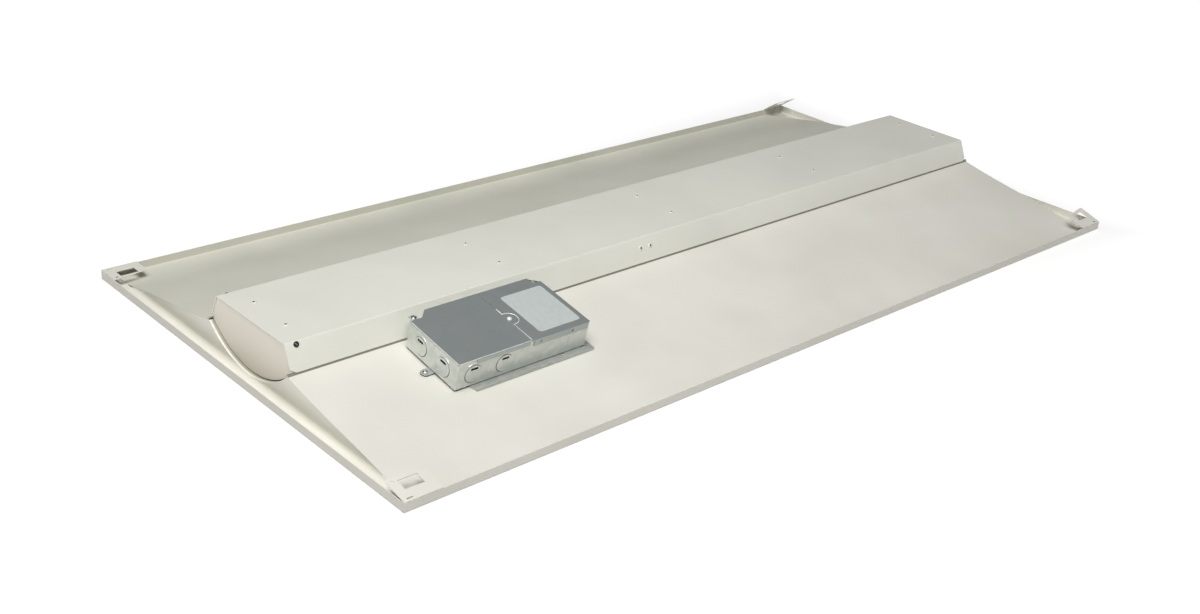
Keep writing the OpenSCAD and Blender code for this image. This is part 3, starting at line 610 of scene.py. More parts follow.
def refined_copy(node: str, name: str, width: float, segments: int = 2, fold: float = 0) -> Obj:
    """Make a merged copy of a CAD node with rounded edges.

    Args:
        node: The CAD node.
        name: The new piece's name.
        width: Reach of the rounding.
        segments: Steps of the rounding.
        fold: Reach of the rounding on a sheet's folds, where it has any.

    Returns:
        The new piece.
    """
    bm = bmesh.new()
    bm.from_mesh(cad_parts[node].data)
    bmesh.ops.remove_doubles(bm, verts=bm.verts, dist=CAD_MERGE)
    bmesh.ops.dissolve_limit(bm, angle_limit=math.radians(FLAT_ANGLE), verts=bm.verts, edges=bm.edges)
    piece = mesh_object(name, bm)
    if fold:
        mark_folds(piece.data, fold, width)
        return bevelled(piece, fold, segments + 1, weighed=True)
    return bevelled(piece, width, segments)


def joined(name: str, pieces: Sequence[Obj]) -> Obj:
    """Join pieces into a new one.

    Args:
        name: The new piece's name.
        pieces: The pieces, which are used up.

    Returns:
        The whole, shaded smooth between its crisp edges.
    """
    bm = bmesh.new()
    for piece in pieces:
        bm.from_mesh(piece.data)
        bpy.data.objects.remove(piece)
    return shaded(mesh_object(name, bm))


def lathed(name: str, profile: Sequence[Point], steps: int) -> Obj:
    """Turn a profile of (radius, height) points round the Z axis into a closed solid.

    Args:
        name: The object's name.
        profile: Points from the axis over the outside and back to the axis.
        steps: Steps round the axis.

    Returns:
        The solid.
    """
    bm = bmesh.new()
    turns = [2 * math.pi * i / steps for i in range(steps)]
    rings = []
    for radius, height in profile:
        round_it = turns if radius else turns[:1]
        rings.append([bm.verts.new((radius * math.cos(t), radius * math.sin(t), height)) for t in round_it])
    for low, high in zip(rings, rings[1:]):
        for i in range(steps):
            around = ((low, i), (low, i + 1), (high, i + 1), (high, i))
            face = list(dict.fromkeys(ring[place % len(ring)] for ring, place in around))
            if len(face) > 2:
                bm.faces.new(face)
    bmesh.ops.recalc_face_normals(bm, faces=bm.faces)
    return mesh_object(name, bm)


def block(name: str, size: Triple, place: Matrix) -> Obj:
    """Make a block.

    Args:
        name: The object's name.
        size: Its three sizes.
        place: Takes its middle and its own axes to the CAD's frame.

    Returns:
        The block.
    """
    bm = bmesh.new()
    bmesh.ops.create_cube(bm, size=1)
    bmesh.ops.transform(bm, matrix=place @ Matrix.Diagonal((*size, 1)), verts=bm.verts)
    return mesh_object(name, bm)


def carved(body: Obj, blade: Obj) -> Obj:
    """Cut a blade's shape out of a body, and delete the blade.

    Args:
        body: What is cut.
        blade: The shape that is cut out.

    Returns:
        The body.
    """
    cut = body.modifiers.new("cut", "BOOLEAN")
    cut.object, cut.solver = blade, "EXACT"
    settled(body)
    bpy.data.objects.remove(blade)
    return body


def rounded_plate(name: str, low: Point, high: Point, corner: float, thickness: float, place: Matrix) -> Obj:
    """Make a thin plate with rounded corners.

    Args:
        name: The object's name.
        low: Its lowest corner in the plate's plane.
        high: Its highest corner.
        corner: Corner radius.
        thickness: Its height above the plane.
        place: Takes the plate's own frame to the CAD's.

    Returns:
        The plate.
    """
    bm = bmesh.new()
    outline = []
    left, near, right, far = low[0] + corner, low[1] + corner, high[0] - corner, high[1] - corner
    for quarter, middle in enumerate(((right, far), (left, far), (left, near), (right, near))):
        for step in range(CORNER_STEPS + 1):
            turn = math.radians(90 * quarter + 90 / CORNER_STEPS * step)
            outline.append(Vector((*middle, 0)) + Vector((math.cos(turn), math.sin(turn), 0)) * corner)
    face = bm.faces.new([bm.verts.new(p) for p in outline])
    raised = bmesh.ops.extrude_face_region(bm, geom=[face])
    top = [v for v in raised["geom"] if isinstance(v, bmesh.types.BMVert)]
    bmesh.ops.translate(bm, verts=top, vec=(0, 0, thickness))
    bmesh.ops.recalc_face_normals(bm, faces=bm.faces)
    bmesh.ops.transform(bm, matrix=place, verts=bm.verts)
    return bevelled(mesh_object(name, bm), thickness * PLATE_ROUND_SHARE, 1)


def bead(name: str, points: Sequence[Vector], radius: float) -> Obj:
    """Draw a thin round bead through points.

    Args:
        name: The object's name.
        points: The bead's middle line.
        radius: Its radius.

    Returns:
        The bead, with closed ends.
    """
    curve = bpy.data.curves.new(name, "CURVE")
    curve.dimensions = "3D"
    curve.bevel_depth, curve.bevel_resolution, curve.use_fill_caps = radius, 2, True
    line = curve.splines.new("POLY")
    line.points.add(len(points) - 1)
    line.points.foreach_set("co", [value for point in points for value in (*point, 1.0)])
    drawn = new_object(name, curve)
    bm = bmesh.new()
    bm.from_mesh(finished_mesh(drawn))
    bpy.data.objects.remove(drawn)
    bmesh.ops.recalc_face_normals(bm, faces=bm.faces)
    return settled(mesh_object(name, bm), FORMED_ANGLE)


def sliced(bm: BMesh, place: Vector, normal: Vector, clear: bool = False) -> list[bmesh.types.BMEdge]:
    """Cut a bmesh along a plane.

    Args:
        bm: The bmesh.
        place: A point on the plane.
        normal: The plane's normal.
        clear: Whether what is beyond the plane goes.

    Returns:
        The edges on the cut.
    """
    everything = list(bm.verts) + list(bm.edges) + list(bm.faces)
    cut = bmesh.ops.bisect_plane(bm, geom=everything, plane_co=place, plane_no=normal, clear_outer=clear)
    return [edge for edge in cut["geom_cut"] if isinstance(edge, bmesh.types.BMEdge)]


def split_faces(piece: Obj, reach: float) -> Obj:
    """Split a piece's faces at one distance along +Y and -Y, so that the parts can be coated apart.

    Args:
        piece: The piece.
        reach: Distance from the middle to each split.

    Returns:
        The same piece.
    """
    with edited(piece.data) as bm:
        for place in (-reach, reach):
            sliced(bm, Vector((0, place, 0)), Vector((0, 1, 0)))
    return piece


def install(piece: Obj, finish: Finish, slot: str, *nodes: str, body: Body = Body.HOUSING) -> Obj:
    """Dress a piece, seat it on its body, let it stand for its CAD nodes, and report it.

    Args:
        piece: The finished piece.
        finish: What it is coated with or made of.
        slot: The record's material slot for it; not used.
        nodes: The CAD nodes that it replaces.
        body: The CAD body that it rides on.

    Returns:
        The same piece.
    """
    piece.data.materials.clear()
    piece.data.materials.append(finish.material())
    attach(piece, body.value)
    if nodes:
        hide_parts(*nodes)
    log.info("%-26s %7d faces  %s", piece.name, len(piece.data.polygons), finish.name)
    return piece


def install_copy(
    node: str,
    ending: str,
    finish: Finish,
    slot: str,
    width: float = 0.2 * MM,
    segments: int = 2,
    body: Body = Body.HOUSING,
) -> Obj:
    """Install a refined copy of a CAD node in the node's place, with an ending added to its name."""
    return install(refined_copy(node, node + ending, width, segments), finish, slot, node, body=body)


def coat_faces(piece: Obj, finish: Finish, chosen: Callable[[Vector, Vector], bool]) -> None:
    """Give some faces of an installed piece a second finish.

    Args:
        piece: The piece.
        finish: The finish of the chosen faces.
        chosen: Tells from a face's centre and normal whether it gets the finish.
    """
    piece.data.materials.append(finish.material())
    for face in piece.data.polygons:
        if chosen(face.center, face.normal):
            face.material_index = len(piece.data.materials) - 1


# Geometry Nodes trees


class PieceTree:
    """A Geometry Nodes tree with named inputs, whose result is taken as a plain mesh."""

    title: str
    inputs: dict[str, str]

    def __init__(self) -> None:
        """Make the tree: its inputs, what it builds, and its end in real geometry with a material on it."""
        self.tree = bpy.data.node_groups.new(self.title, "GeometryNodeTree")
        face = self.tree.interface
        for label, kind in {"Geometry": "Geometry", **self.inputs, "Material": "Material"}.items():
            face.new_socket(name=label, in_out="INPUT", socket_type="NodeSocket" + kind)
        face.new_socket(name="Geometry", in_out="OUTPUT", socket_type="NodeSocketGeometry")
        self.given = self.add("NodeGroupInput").outputs
        real = self.add("GeometryNodeRealizeInstances", {"Geometry": self.build()}).outputs[0]
        dressed = self.add("GeometryNodeSetMaterial", {"Geometry": real, "Material": self.given["Material"]})
        self.add("NodeGroupOutput", {"Geometry": dressed.outputs[0]})

    def add(self, kind: str, links: dict | None = None, **settings: object) -> Node:
        """Add a node to this tree."""
        return add_node(self.tree, kind, links, **settings)

    def build(self) -> Socket:
        """Return the geometry that the tree makes."""
        raise NotImplementedError

    def thickened(self, skin: Socket) -> Socket:
        """Give a skin its thickness, and close it.

        Args:
            skin: The skin, as a mesh.

        Returns:
            The closed shell.
        """
        grown = {"Mesh": skin, "Offset Scale": self.given["Thickness"], "Individual": False}
        thick = self.add("GeometryNodeExtrudeMesh", grown, mode="FACES").outputs["Mesh"]
        both = self.add("GeometryNodeJoinGeometry", {"Geometry": thick})
        self.tree.links.new(self.add("GeometryNodeFlipFaces", {"Mesh": skin}).outputs[0], both.inputs[0])
        welded = {"Geometry": both.outputs[0], "Distance": TREE_MERGE}
        return self.add("GeometryNodeMergeByDistance", welded).outputs[0]

    def run(self, name: str, base: Mesh, **values: object) -> Obj:
        """Run the tree on a base mesh.

        Args:
            name: The new object's name.
            base: The mesh that goes into the tree.
            values: Input name to value, with _ for a space.

        Returns:
            The object with the tree's result as its plain mesh.
        """
        piece = new_object(name, base)
        modifier = piece.modifiers.new("tree", "NODES")
        modifier.node_group = self.tree
        for item in self.tree.interface.items_tree:
            key = item.name.replace(" ", "_")
            if item.item_type == "SOCKET" and item.in_out == "INPUT" and key in values:
                modifier[item.identifier] = values[key]
        return settled(piece)


class FormedSheetTree(PieceTree):
    """Folds a section line into sheet: every corner gets its own bend radius, the line runs along Y, and the
    sheet gets its thickness on the line's right-hand side."""

    title = "formed_sheet"
    inputs = {"From Y": "Float", "Length": "Float", "Thickness": "Float", "Bend Steps": "Int"}

    def build(self) -> Socket:
        """Fillet the line, extrude it along Y, then thicken it.

        Returns:
            The folded sheet.
        """
        radius = self.add("GeometryNodeInputNamedAttribute", {"Name": "bend"}, data_type="FLOAT").outputs[0]
        line = self.add("GeometryNodeMeshToCurve", {"Mesh": self.given["Geometry"]}).outputs[0]
        fillet = {"Curve": line, "Count": self.given["Bend Steps"], "Radius": radius, "Limit Radius": True}
        bent = self.add("GeometryNodeFilletCurve", fillet, mode="POLY").outputs[0]
        start = self.add("ShaderNodeCombineXYZ", {"Y": self.given["From Y"]}).outputs[0]
        edge = self.add("GeometryNodeCurveToMesh", {"Curve": bent}).outputs[0]
        placed = self.add("GeometryNodeSetPosition", {"Geometry": edge, "Offset": start}).outputs[0]
        run = self.add("ShaderNodeCombineXYZ", {"Y": self.given["Length"]}).outputs[0]
        swept = self.add("GeometryNodeExtrudeMesh", {"Mesh": placed, "Offset": run}, mode="EDGES")
        return self.thickened(swept.outputs["Mesh"])


class ArcLensTree(PieceTree):
    """Draws the basket lens from its rule: an arc of one radius, closed to a shell of even thickness."""

    title = "arc_lens"
    inputs = {
        "Radius": "Float",
        "Centre Height": "Float",
        "Sweep": "Float",
        "Length": "Float",
        "Thickness": "Float",
        "Arc Steps": "Int",
    }

    def build(self) -> Socket:
        """Bend a flat grid, whose X is an angle, round the arc's centre line, then thicken it inwards.

        Returns:
            The lens without its upright edges.
        """
        given = self.given
        size = {"Size X": given["Sweep"], "Size Y": given["Length"], "Vertices X": given["Arc Steps"]}
        grid = self.add("GeometryNodeMeshGrid", {**size, "Vertices Y": 2}).outputs["Mesh"]
        place = self.add("GeometryNodeInputPosition").outputs[0]
        flat = self.add("ShaderNodeSeparateXYZ", {0: place}).outputs
        sides = []
        for turned in ("SINE", "COSINE"):
            share = self.add("ShaderNodeMath", {0: flat["X"]}, operation=turned).outputs[0]
            scaled = self.add("ShaderNodeMath", {0: share, 1: given["Radius"]}, operation="MULTIPLY")
            sides.append(scaled.outputs[0])
        drop = {0: given["Centre Height"], 1: sides[1]}
        height = self.add("ShaderNodeMath", drop, operation="SUBTRACT").outputs[0]
        bent = self.add("ShaderNodeCombineXYZ", {"X": sides[0], "Y": flat["Y"], "Z": height}).outputs[0]
        skin = self.add("GeometryNodeSetPosition", {"Geometry": grid, "Position": bent}).outputs[0]
        return self.thickened(skin)


class FastenerTree(PieceTree):
    """Sets a copy of one fastener on every point: turned as the point says, and spun about its own axis by
    chance, as a driver leaves it."""

    title = "fasteners"
    inputs = {"Fastener": "Object", "Most Spin": "Float", "Seed": "Int"}

    def build(self) -> Socket:
        """Instance the fastener on the points.

        Returns:
            The fasteners, still as instances.
        """
        shape = self.add("GeometryNodeObjectInfo", {"Object": self.given["Fastener"]}).outputs["Geometry"]
        turn = self.add("GeometryNodeInputNamedAttribute", {"Name": "turn"}, data_type="FLOAT_VECTOR")
        seat = self.add("FunctionNodeEulerToRotation", {"Euler": turn.outputs["Attribute"]}).outputs[0]
        links = {"Points": self.given["Geometry"], "Instance": shape, "Rotation": seat}
        placed = self.add("GeometryNodeInstanceOnPoints", links).outputs[0]
        dice = {LEAST: 0.0, MOST: self.given["Most Spin"], "Seed": self.given["Seed"]}
        chance = self.add("FunctionNodeRandomValue", dice, data_type="FLOAT").outputs[CHANCE]
        spin = self.add("ShaderNodeCombineXYZ", {"Z": chance}).outputs[0]
        own = self.add("FunctionNodeEulerToRotation", {"Euler": spin}).outputs[0]
        links = {"Instances": placed, "Rotation": own, "Local Space": True}
        return self.add("GeometryNodeRotateInstances", links).outputs[0]


class ChipRowTree(PieceTree):
    """Lays one row of lamp chips at an even pitch along a board, and copies it to every board's place."""

    title = "chip_rows"
    inputs = {"Chip": "Object", "Pitch": "Float", "Chips": "Int"}

    def build(self) -> Socket:
        """Make the row as a line of points, and set a chip on each point of each row.

        Returns:
            The chips, still as instances.
        """
        step = self.add("ShaderNodeCombineXYZ", {"Y": self.given["Pitch"]}).outputs[0]
        row = self.add("GeometryNodeMeshLine", {"Count": self.given["Chips"], "Offset": step}).outputs[0]
        shape = self.add("GeometryNodeObjectInfo", {"Object": self.given["Chip"]}).outputs["Geometry"]
        one = self.add("GeometryNodeInstanceOnPoints", {"Points": row, "Instance": shape}).outputs[0]
        rows = {"Points": self.given["Geometry"], "Instance": one}
        return self.add("GeometryNodeInstanceOnPoints", rows).outputs[0]


def points_mesh(name: str, seats: Iterable[Seat]) -> Mesh:
    """Make a mesh of loose points that each carry a turn.

    Args:
        name: The mesh's name.
        seats: The points.

    Returns:
        The mesh.
    """
    listed = list(seats)
    mesh = bpy.data.meshes.new(name)
    mesh.from_pydata([tuple(p) for p, _ in listed], [], [])
    turns = mesh.attributes.new("turn", "FLOAT_VECTOR", "POINT")
    turns.data.foreach_set("vector", [value for _, turn in listed for value in turn])
    return mesh


def section_mesh(name: str, path: Sequence[Triple]) -> Mesh:
    """Make a line in the XZ plane.

    Args:
        name: The mesh's name.
        path: Its corners, each (x, z, bend radius).

    Returns:
        The mesh.
    """
    mesh = bpy.data.meshes.new(name)
    mesh.from_pydata([(x, 0, z) for x, z, _ in path], [(i, i + 1) for i in range(len(path) - 1)], [])
    mesh.attributes.new("bend", "FLOAT", "POINT").data.foreach_set("value", [r for _, _, r in path])
    return mesh


def across(path: Sequence[Triple], side: int) -> list[Triple]:
    """Return a section's line for one side: as it is on +X, or mirrored and run backwards on -X."""
    return [(x * side, z, r) for x, z, r in (path if side > 0 else path[::-1])]


@dataclass(frozen=True)
class Pan:
    """The sizes of a pan head screw with a cross recess; its seat is at height 0."""

    head_r: float
    head: float
    shank_r: float
    length: float
    rim_share: float = 0.3
    point_share: float = 0.85
    blade_shares: Triple = (1.05, 0.26, 1.2)
    dome_turns: tuple[float, ...] = (0, 0.35, 0.7, 1.0, 1.3, 1.5)
    round_steps: int = 24
    edge_share: float = 0.06
    edge_angle: float = 50

    def shape(self, name: str) -> Obj:
        """Make the screw.

        Args:
            name: The shape's name.

        Returns:
            The screw.
        """
        wide, slim, tip = self.head_r, self.shank_r, -self.length
        profile = []
        for turn in self.dome_turns:
            rise = self.rim_share + (1 - self.rim_share) * math.cos(turn)
            profile.append((wide * math.sin(turn), self.head * rise))
        profile += [(wide, 0), (slim, 0), (slim, tip * self.point_share), (slim / 2, tip), (0, tip)]
        body = lathed(name, profile, self.round_steps)
        sides = (wide, wide, self.head)
        size = tuple(side * share for side, share in zip(sides, self.blade_shares))
        for turn in (0, 90):
            place = Matrix.Translation((0, 0, self.head)) @ Matrix.Rotation(math.radians(turn), 4, "Z")
            carved(body, block(name + "_blade", size, place))
        return bevelled(body, self.head * self.edge_share, 1, self.edge_angle)


class Workshop:
    """The trees that every sub-assembly shares, and the shapes that they repeat."""

    def __init__(self) -> None:
        """Make the trees, and start with no shapes."""
        self.sheet = FormedSheetTree()
        self.arc = ArcLensTree()
        self.fasteners = FastenerTree()
        self.chips = ChipRowTree()
        self.kept: list[Obj] = []

    def keep(self, shape: Obj) -> Obj:
        """Take a shape out of the scene until the end.

        Args:
            shape: The shape.

        Returns:
            The same shape.
        """
        bpy.context.scene.collection.objects.unlink(shape)
        self.kept.append(shape)
        return shape

    def clear(self) -> None:
        """Delete the shapes."""
        for shape in self.kept:
            bpy.data.objects.remove(shape)

    def formed(self, name: str, path: Sequence[Triple], reach: float, thickness: float) -> Obj:
        """Fold a line of corners (x, z, bend radius) into sheet, from -reach to reach along Y."""
        values = {"From_Y": -reach, "Length": reach * 2, "Thickness": thickness, "Bend_Steps": BEND_STEPS}
        return self.sheet.run(name, section_mesh(name, path), Material=REFLECTOR_COAT.material(), **values)

    def fasten(
        self,
        name: str,
        shape: Obj,
        seats: Iterable[Seat],
        finish: Finish,
        slot: str,
        *nodes: str,
        body: Body = Body.HOUSING,
        spin: float = math.pi / 2,
    ) -> Obj:
        """Set a fastener on every seat, and install the whole run as one piece.

        Args:
            name: The new piece's name.
            shape: The fastener.
            seats: Where the fasteners sit.
            finish: What they are coated with or made of.
            slot: The record's material slot for them.
            nodes: The CAD nodes that they replace.
            body: The CAD body that they ride on.
            spin: The most that chance turns one about its own axis.

        Returns:
            The run.
        """
        values = {"Fastener": shape, "Most_Spin": spin, "Seed": SEED, "Material": finish.material()}
        run = self.fasteners.run(name, points_mesh(name, seats), **values)
        return install(run, finish, slot, *nodes, body=body)


# Sub-assemblies


@dataclass(frozen=True)
class ChannelSection:
    """The section of the channel's outside, which the wings and the lens seat against."""

    foot_x: float = 80 * MM
    top_x: float = 67.4 * MM
    foot_z: float = 37.5 * MM
    top_z: float = 66 * MM
    sheet: float = 0.8 * MM

    def lean(self) -> float:
        """Return how far the side moves in with each unit of height."""
        return (self.foot_x - self.top_x) / (self.top_z - self.foot_z)

    def side_x(self, z: float) -> float:
        """Return the half width of the outside at a height."""
        return self.foot_x - self.lean() * (z - self.foot_z)

    def wall(self) -> float:
        """Return the sheet's thickness as measured level through the leaning side."""
        return self.sheet / math.cos(math.atan(self.lean()))


@dataclass
class ReflectorShell:
    """The two wings and the two end panels: the fixture's formed outer shell."""

    shop: Workshop
    channel: ChannelSection = ChannelSection()
    half_width: float = 301.5 * MM
    half_length: float = 606.5 * MM
    body_end: float = 590 * MM
    flange_end: float = 583.4 * MM
    sheet: float = 0.8 * MM
    lip: float = 10.5 * MM
    rim_x: float = 269.5 * MM
    rise: float = 34 * MM
    swell: float = 0.025
    return_height: float = 23.2 * MM
    bend: float = 1.4 * MM
    crease_reach: float = 17 * MM
    knee_bends: float = 3
    steps: int = 60
    press_steps: int = 8
    # In thicknesses of sheet: the painted shadow's reach in from the channel's foot, and its start above the
    # rise.
    crack_sheets: Point = (3, 0.75)
    # Width of the outer band of the flange round the D-shaped plate that keeps the end coat; inside it the
    # painted shade starts.
    arc_bright: float = 2.4 * MM
    # The least rise and the most lean of the normals round the D-shaped plate's arc.
    arc_normal: Point = (0.2, 0.3)
    edge_round: float = 0.15 * MM

    def top(self, x: float) -> float:
        """Return the height of a wing's back face at a distance from the middle line."""
        share = (self.rim_x - x) / (self.rim_x - self.channel.foot_x)
        return self.sheet + self.rise * (share + self.swell * math.sin(2 * math.pi * share))

    def pressed(self, x: float) -> float:
        """Average that height over the crease between rim and slope, which the press has rounded.

        Args:
            x: Distance from the middle line.

        Returns:
            The height.
        """
        reach = min(self.crease_reach, max(x - self.channel.foot_x, 0.0))
        places = [x + reach * (i / self.press_steps - 1) for i in range(self.press_steps * 2 + 1)]
        return sum(self.top(min(place, self.rim_x)) for place in places) / len(places)

    def inner_x(self, z: float) -> float:
        """Return where the return flange's inner face is at a height."""
        return self.channel.side_x(z) - self.channel.wall() * 2

    def wing(self, name: str, side: int) -> Obj:
        """Fold one wing: lip, rim, slope and return flange.

        Args:
            name: The piece's name.
            side: 1 for the wing on +X, -1 for the other.

        Returns:
            The wing.
        """
        foot = self.inner_x(self.rise)
        start = self.half_width - self.bend * 2
        lip = [(self.half_width, self.lip, 0.0), (self.half_width, 0.0, self.bend), (start, 0.0, 0.0)]
        outer = self.rim_x + self.crease_reach
        slope = []
        for i in range(self.steps + 1):
            x = outer + (foot - outer) * i / self.steps
            slope.append((x, self.pressed(x) - self.sheet, self.bend if i == self.steps else 0.0))
        top_z = self.sheet + self.rise + self.return_height
        knee_z = self.top(foot) - self.sheet + self.bend * self.knee_bends
        knee = (self.inner_x(knee_z), knee_z, 0.0)
        parts = {
            "lip": (lip, self.half_length),
            "slope": ([(start, 0.0, 0.0)] + slope + [knee], self.body_end),
            "return": ([knee, (self.inner_x(top_z), top_z, 0.0)], self.flange_end),
        }
        made = []
        for part, (path, reach) in parts.items():
            made.append(self.shop.formed(f"{name}_{part}", across(path, side), reach, self.sheet))
        return bevelled(joined(name, made), self.edge_round, 1, FORMED_ANGLE)

    def on_lip(self, middle: Vector, normal: Vector) -> bool:
        """Tell whether a face is on the outside of a lip, where the painted shade goes."""
        out = max(abs(middle.x) - self.half_width, abs(middle.y) - self.half_length)
        return out > -self.sheet / 4 and abs(normal.z) < 0.5

    def in_crack(self, middle: Vector, normal: Vector) -> bool:
        """Tell whether a face is on the knee that shows under the channel's foot, where the painted shadow
        goes.

        Args:
            middle: The face's centre.
            normal: Its normal, which doesn't matter here.

        Returns:
            Whether it is.
        """
        inwards, start = (self.sheet * share for share in self.crack_sheets)
        beside = self.channel.foot_x - inwards < abs(middle.x) < self.channel.foot_x
        return beside and self.rise + start < middle.z < self.channel.foot_z + self.sheet

    def in_arc(self, middle: Vector, normal: Vector) -> bool:
        """Tell whether a face gets the painted shade: on the inner half of the flange round the D-shaped
        plate.
        """
        inside = abs(middle.x) < self.channel.foot_x and abs(middle.y) < self.body_end - self.arc_bright
        return inside and normal.z > self.arc_normal[0] and abs(normal.y) < self.arc_normal[1]

    def build(self) -> None:
        """Build and dress the shell."""
        for side, node, coat in ((1, "reflector_right", REFLECTOR_COAT), (-1, "reflector_left", LEFT_WING_PAINTED_SHADE_COAT)):
            wing = install(self.wing(node + "_wing", side), coat, "reflector_white", node)
            coat_faces(wing, LIP_PAINTED_SHADE_COAT, self.on_lip)
            # Only the right wing's knee gets the painted shadow.
            if side > 0:
                coat_faces(wing, SEAM_PAINTED_SHADOW_COAT, self.in_crack)
        for node in ("end_panel_near", "end_panel_far"):
            panel = refined_copy(node, node + "_formed", self.edge_round)
            install(split_faces(panel, self.body_end - self.arc_bright), END_COAT, "end_white", node)
            coat_faces(panel, LIP_PAINTED_SHADE_COAT, self.on_lip)
            coat_faces(panel, ARC_PAINTED_SHADE_COAT, self.in_arc)


@dataclass
class ChannelSpine:
    """The folded channel over the lamps, its end plates, rivets and screws."""

    shop: Workshop
    channel: ChannelSection = ChannelSection()
    half_length: float = 586 * MM
    bend: float = 1.6 * MM
    notch: float = 6 * MM
    notch_rise: float = 3.6 * MM
    rivet_x: float = 31.5 * MM
    rivet_run: float = 1124 * MM
    rivet_rows: int = 5
    end_screw_y: float = 573 * MM
    end_screw_z: float = 62.9 * MM
    end_screw: Pan = Pan(3.2 * MM, 1.5 * MM, 1.6 * MM, 6 * MM)
    side_rivet_z: float = 54 * MM
    side_rivet_ys: Point = (-93 * MM, -77 * MM)
    edge_round: float = 0.15 * MM
    # Profiles are (radius, height) points in millimetres.
    rivet_top: tuple[Point, ...] = ((0, 0.55), (1.05, 0.55), (1.15, 1), (1.9, 1), (2.7, 0.62), (3.1, 0.25))
    rivet_foot: tuple[Point, ...] = ((3.1, 0), (2, 0), (2, -1.6), (2.8, -1.7), (2, -3.2), (0, -3.2))
    stem: tuple[Point, ...] = ((0, 1.2), (1.0, 1.15), (1.35, 0.95), (1.35, 0.4), (0, 0.4))
    # The light disc set in the middle of each black end screw's head.
    worn_middle: tuple[Point, ...] = ((0, 1.35), (0.9, 1.3), (1.3, 1.1), (1.3, 0.5), (0, 0.5))
    rivet_steps: int = 20
    stem_steps: int = 14
    light_steps: int = 16

    def cover(self) -> Obj:
        """Fold the cover, and notch the bottom corners of its ends.

        Returns:
            The cover.
        """
        part = self.channel
        left = [(-part.foot_x, part.foot_z, 0.0), (-part.top_x, part.top_z, self.bend)]
        path = left + [(-x, z, r) for x, z, r in reversed(left)]
        cover = self.shop.formed("channel_cover_folded", path, self.half_length, part.sheet)
        with edited(cover.data) as bm:
            for end in (-1, 1):
                corner = Vector((0, end * (self.half_length - self.notch), part.foot_z))
                outwards = Vector((0, end * self.notch_rise, -self.notch)).normalized()
                bmesh.ops.holes_fill(bm, edges=sliced(bm, corner, outwards, True), sides=0)
        return bevelled(cover, self.edge_round, 1, FORMED_ANGLE)

    def top_seats(self) -> list[Seat]:
        """Find the seats of the rivets on the channel's top.

        Returns:
            The seats.
        """
        run = [self.rivet_run * (i / (self.rivet_rows - 1) - 0.5) for i in range(self.rivet_rows)]
        places = [(x, y, self.channel.top_z) for x in (-self.rivet_x, self.rivet_x) for y in run]
        return [(Vector(place), UPRIGHT) for place in places]

    def side_seats(self, ys: Iterable[float], z: float, sides: Sequence[int]) -> list[Seat]:
        """Find seats on the channel's sides, square to them.

        Args:
            ys: Their places along the channel.
            z: Their height.
            sides: 1 for the side on +X, -1 for the other.

        Returns:
            The seats.
        """
        tilt = math.pi / 2 - math.atan(self.channel.lean())
        x = self.channel.side_x(z)
        return [(Vector((side * x, y, z)), (0.0, side * tilt, 0.0)) for side in sides for y in ys]

    def turned(self, name: str, profile: Sequence[Point], steps: int) -> Obj:
        """Turn a shape from a profile in millimetres, and keep it."""
        return self.shop.keep(lathed(name, [(r * MM, z * MM) for r, z in profile], steps))

    def build(self) -> None:
        """Build and dress the channel."""
        install(self.cover(), CHANNEL_COAT, "channel_white", "channel_cover")
        for node in ("channel_end_near", "channel_end_far"):
            install_copy(node, "_plate", PLATE_COAT, "end_white")
        rivet = self.turned("blind_rivet", self.rivet_top + self.rivet_foot, self.rivet_steps)
        stem = self.turned("rivet_stem", self.stem, self.stem_steps)
        light_disc = self.turned("screw_worn_middle", self.worn_middle, self.light_steps)
        screw = self.shop.keep(self.end_screw.shape("end_screw"))
        top = self.top_seats()
        side = self.side_seats(self.side_rivet_ys, self.side_rivet_z, (1,))
        ends = self.side_seats((-self.end_screw_y,), self.end_screw_z, (1, -1))
        fasten = self.shop.fasten
        fasten("channel_top_rivets", rivet, top, RIVET_COAT, "rivet_white", "tray_rivets")
        fasten("channel_side_rivets", rivet, side, RIVET_COAT, "rivet_white", "side_rivets")
        fasten("rivet_stems", stem, top + side, RIVET_STEM, "dark_screw")
        fasten("channel_end_screws", screw, ends, BLACK_ZINC, "dark_screw", "end_screws")
        fasten("end_screw_middles", light_disc, ends, BRIGHT_ZINC, "zinc_screw")


@dataclass
class BasketLens:
    """The frosted lens under the channel: one arc between two upright edges."""

    shop: Workshop
    channel: ChannelSection = ChannelSection()
    plate_y: float = 585 * MM
    basket_z: float = 5.4 * MM
    gap: float = 0.3 * MM
    gap_share: float = 1.5
    thickness: float = 2 * MM
    edge: float = 7 * MM
    steps: int = 65

    def build(self) -> None:
        """Build and dress the lens, and give it its body."""
        part = self.channel
        half, rise = part.foot_x - part.wall(), part.foot_z - self.basket_z
        panel_r = (half * half + rise * rise) / 2 / rise
        radius = panel_r - self.gap * self.gap_share
        centre = self.basket_z + panel_r
        edge_z = part.foot_z - part.sheet / 2
        reach = self.plate_y - part.sheet - self.gap
        values = {
            "Radius": radius,
            "Centre_Height": centre,
            "Sweep": 2 * math.acos((centre - edge_z) / radius),
            "Length": reach * 2,
            "Thickness": self.thickness,
            "Arc_Steps": self.steps,
            "Material": LENS_ACRYLIC.material(),
        }
        pieces = [self.shop.arc.run("lens_arc", bpy.data.meshes.new("lens_arc"), **values)]
        edge_x = math.sqrt(radius**2 - (centre - edge_z) ** 2)
        line = [(edge_x - part.lean() * self.edge, edge_z + self.edge, 0.0), (edge_x, edge_z, 0.0)]
        for side in (1, -1):
            pieces.append(self.shop.formed(f"lens_edge_{side}", across(line, side), reach, self.thickness))
        install(joined("basket_lens", pieces), LENS_ACRYLIC, "lens_acrylic", "lens", body=Body.LENS)


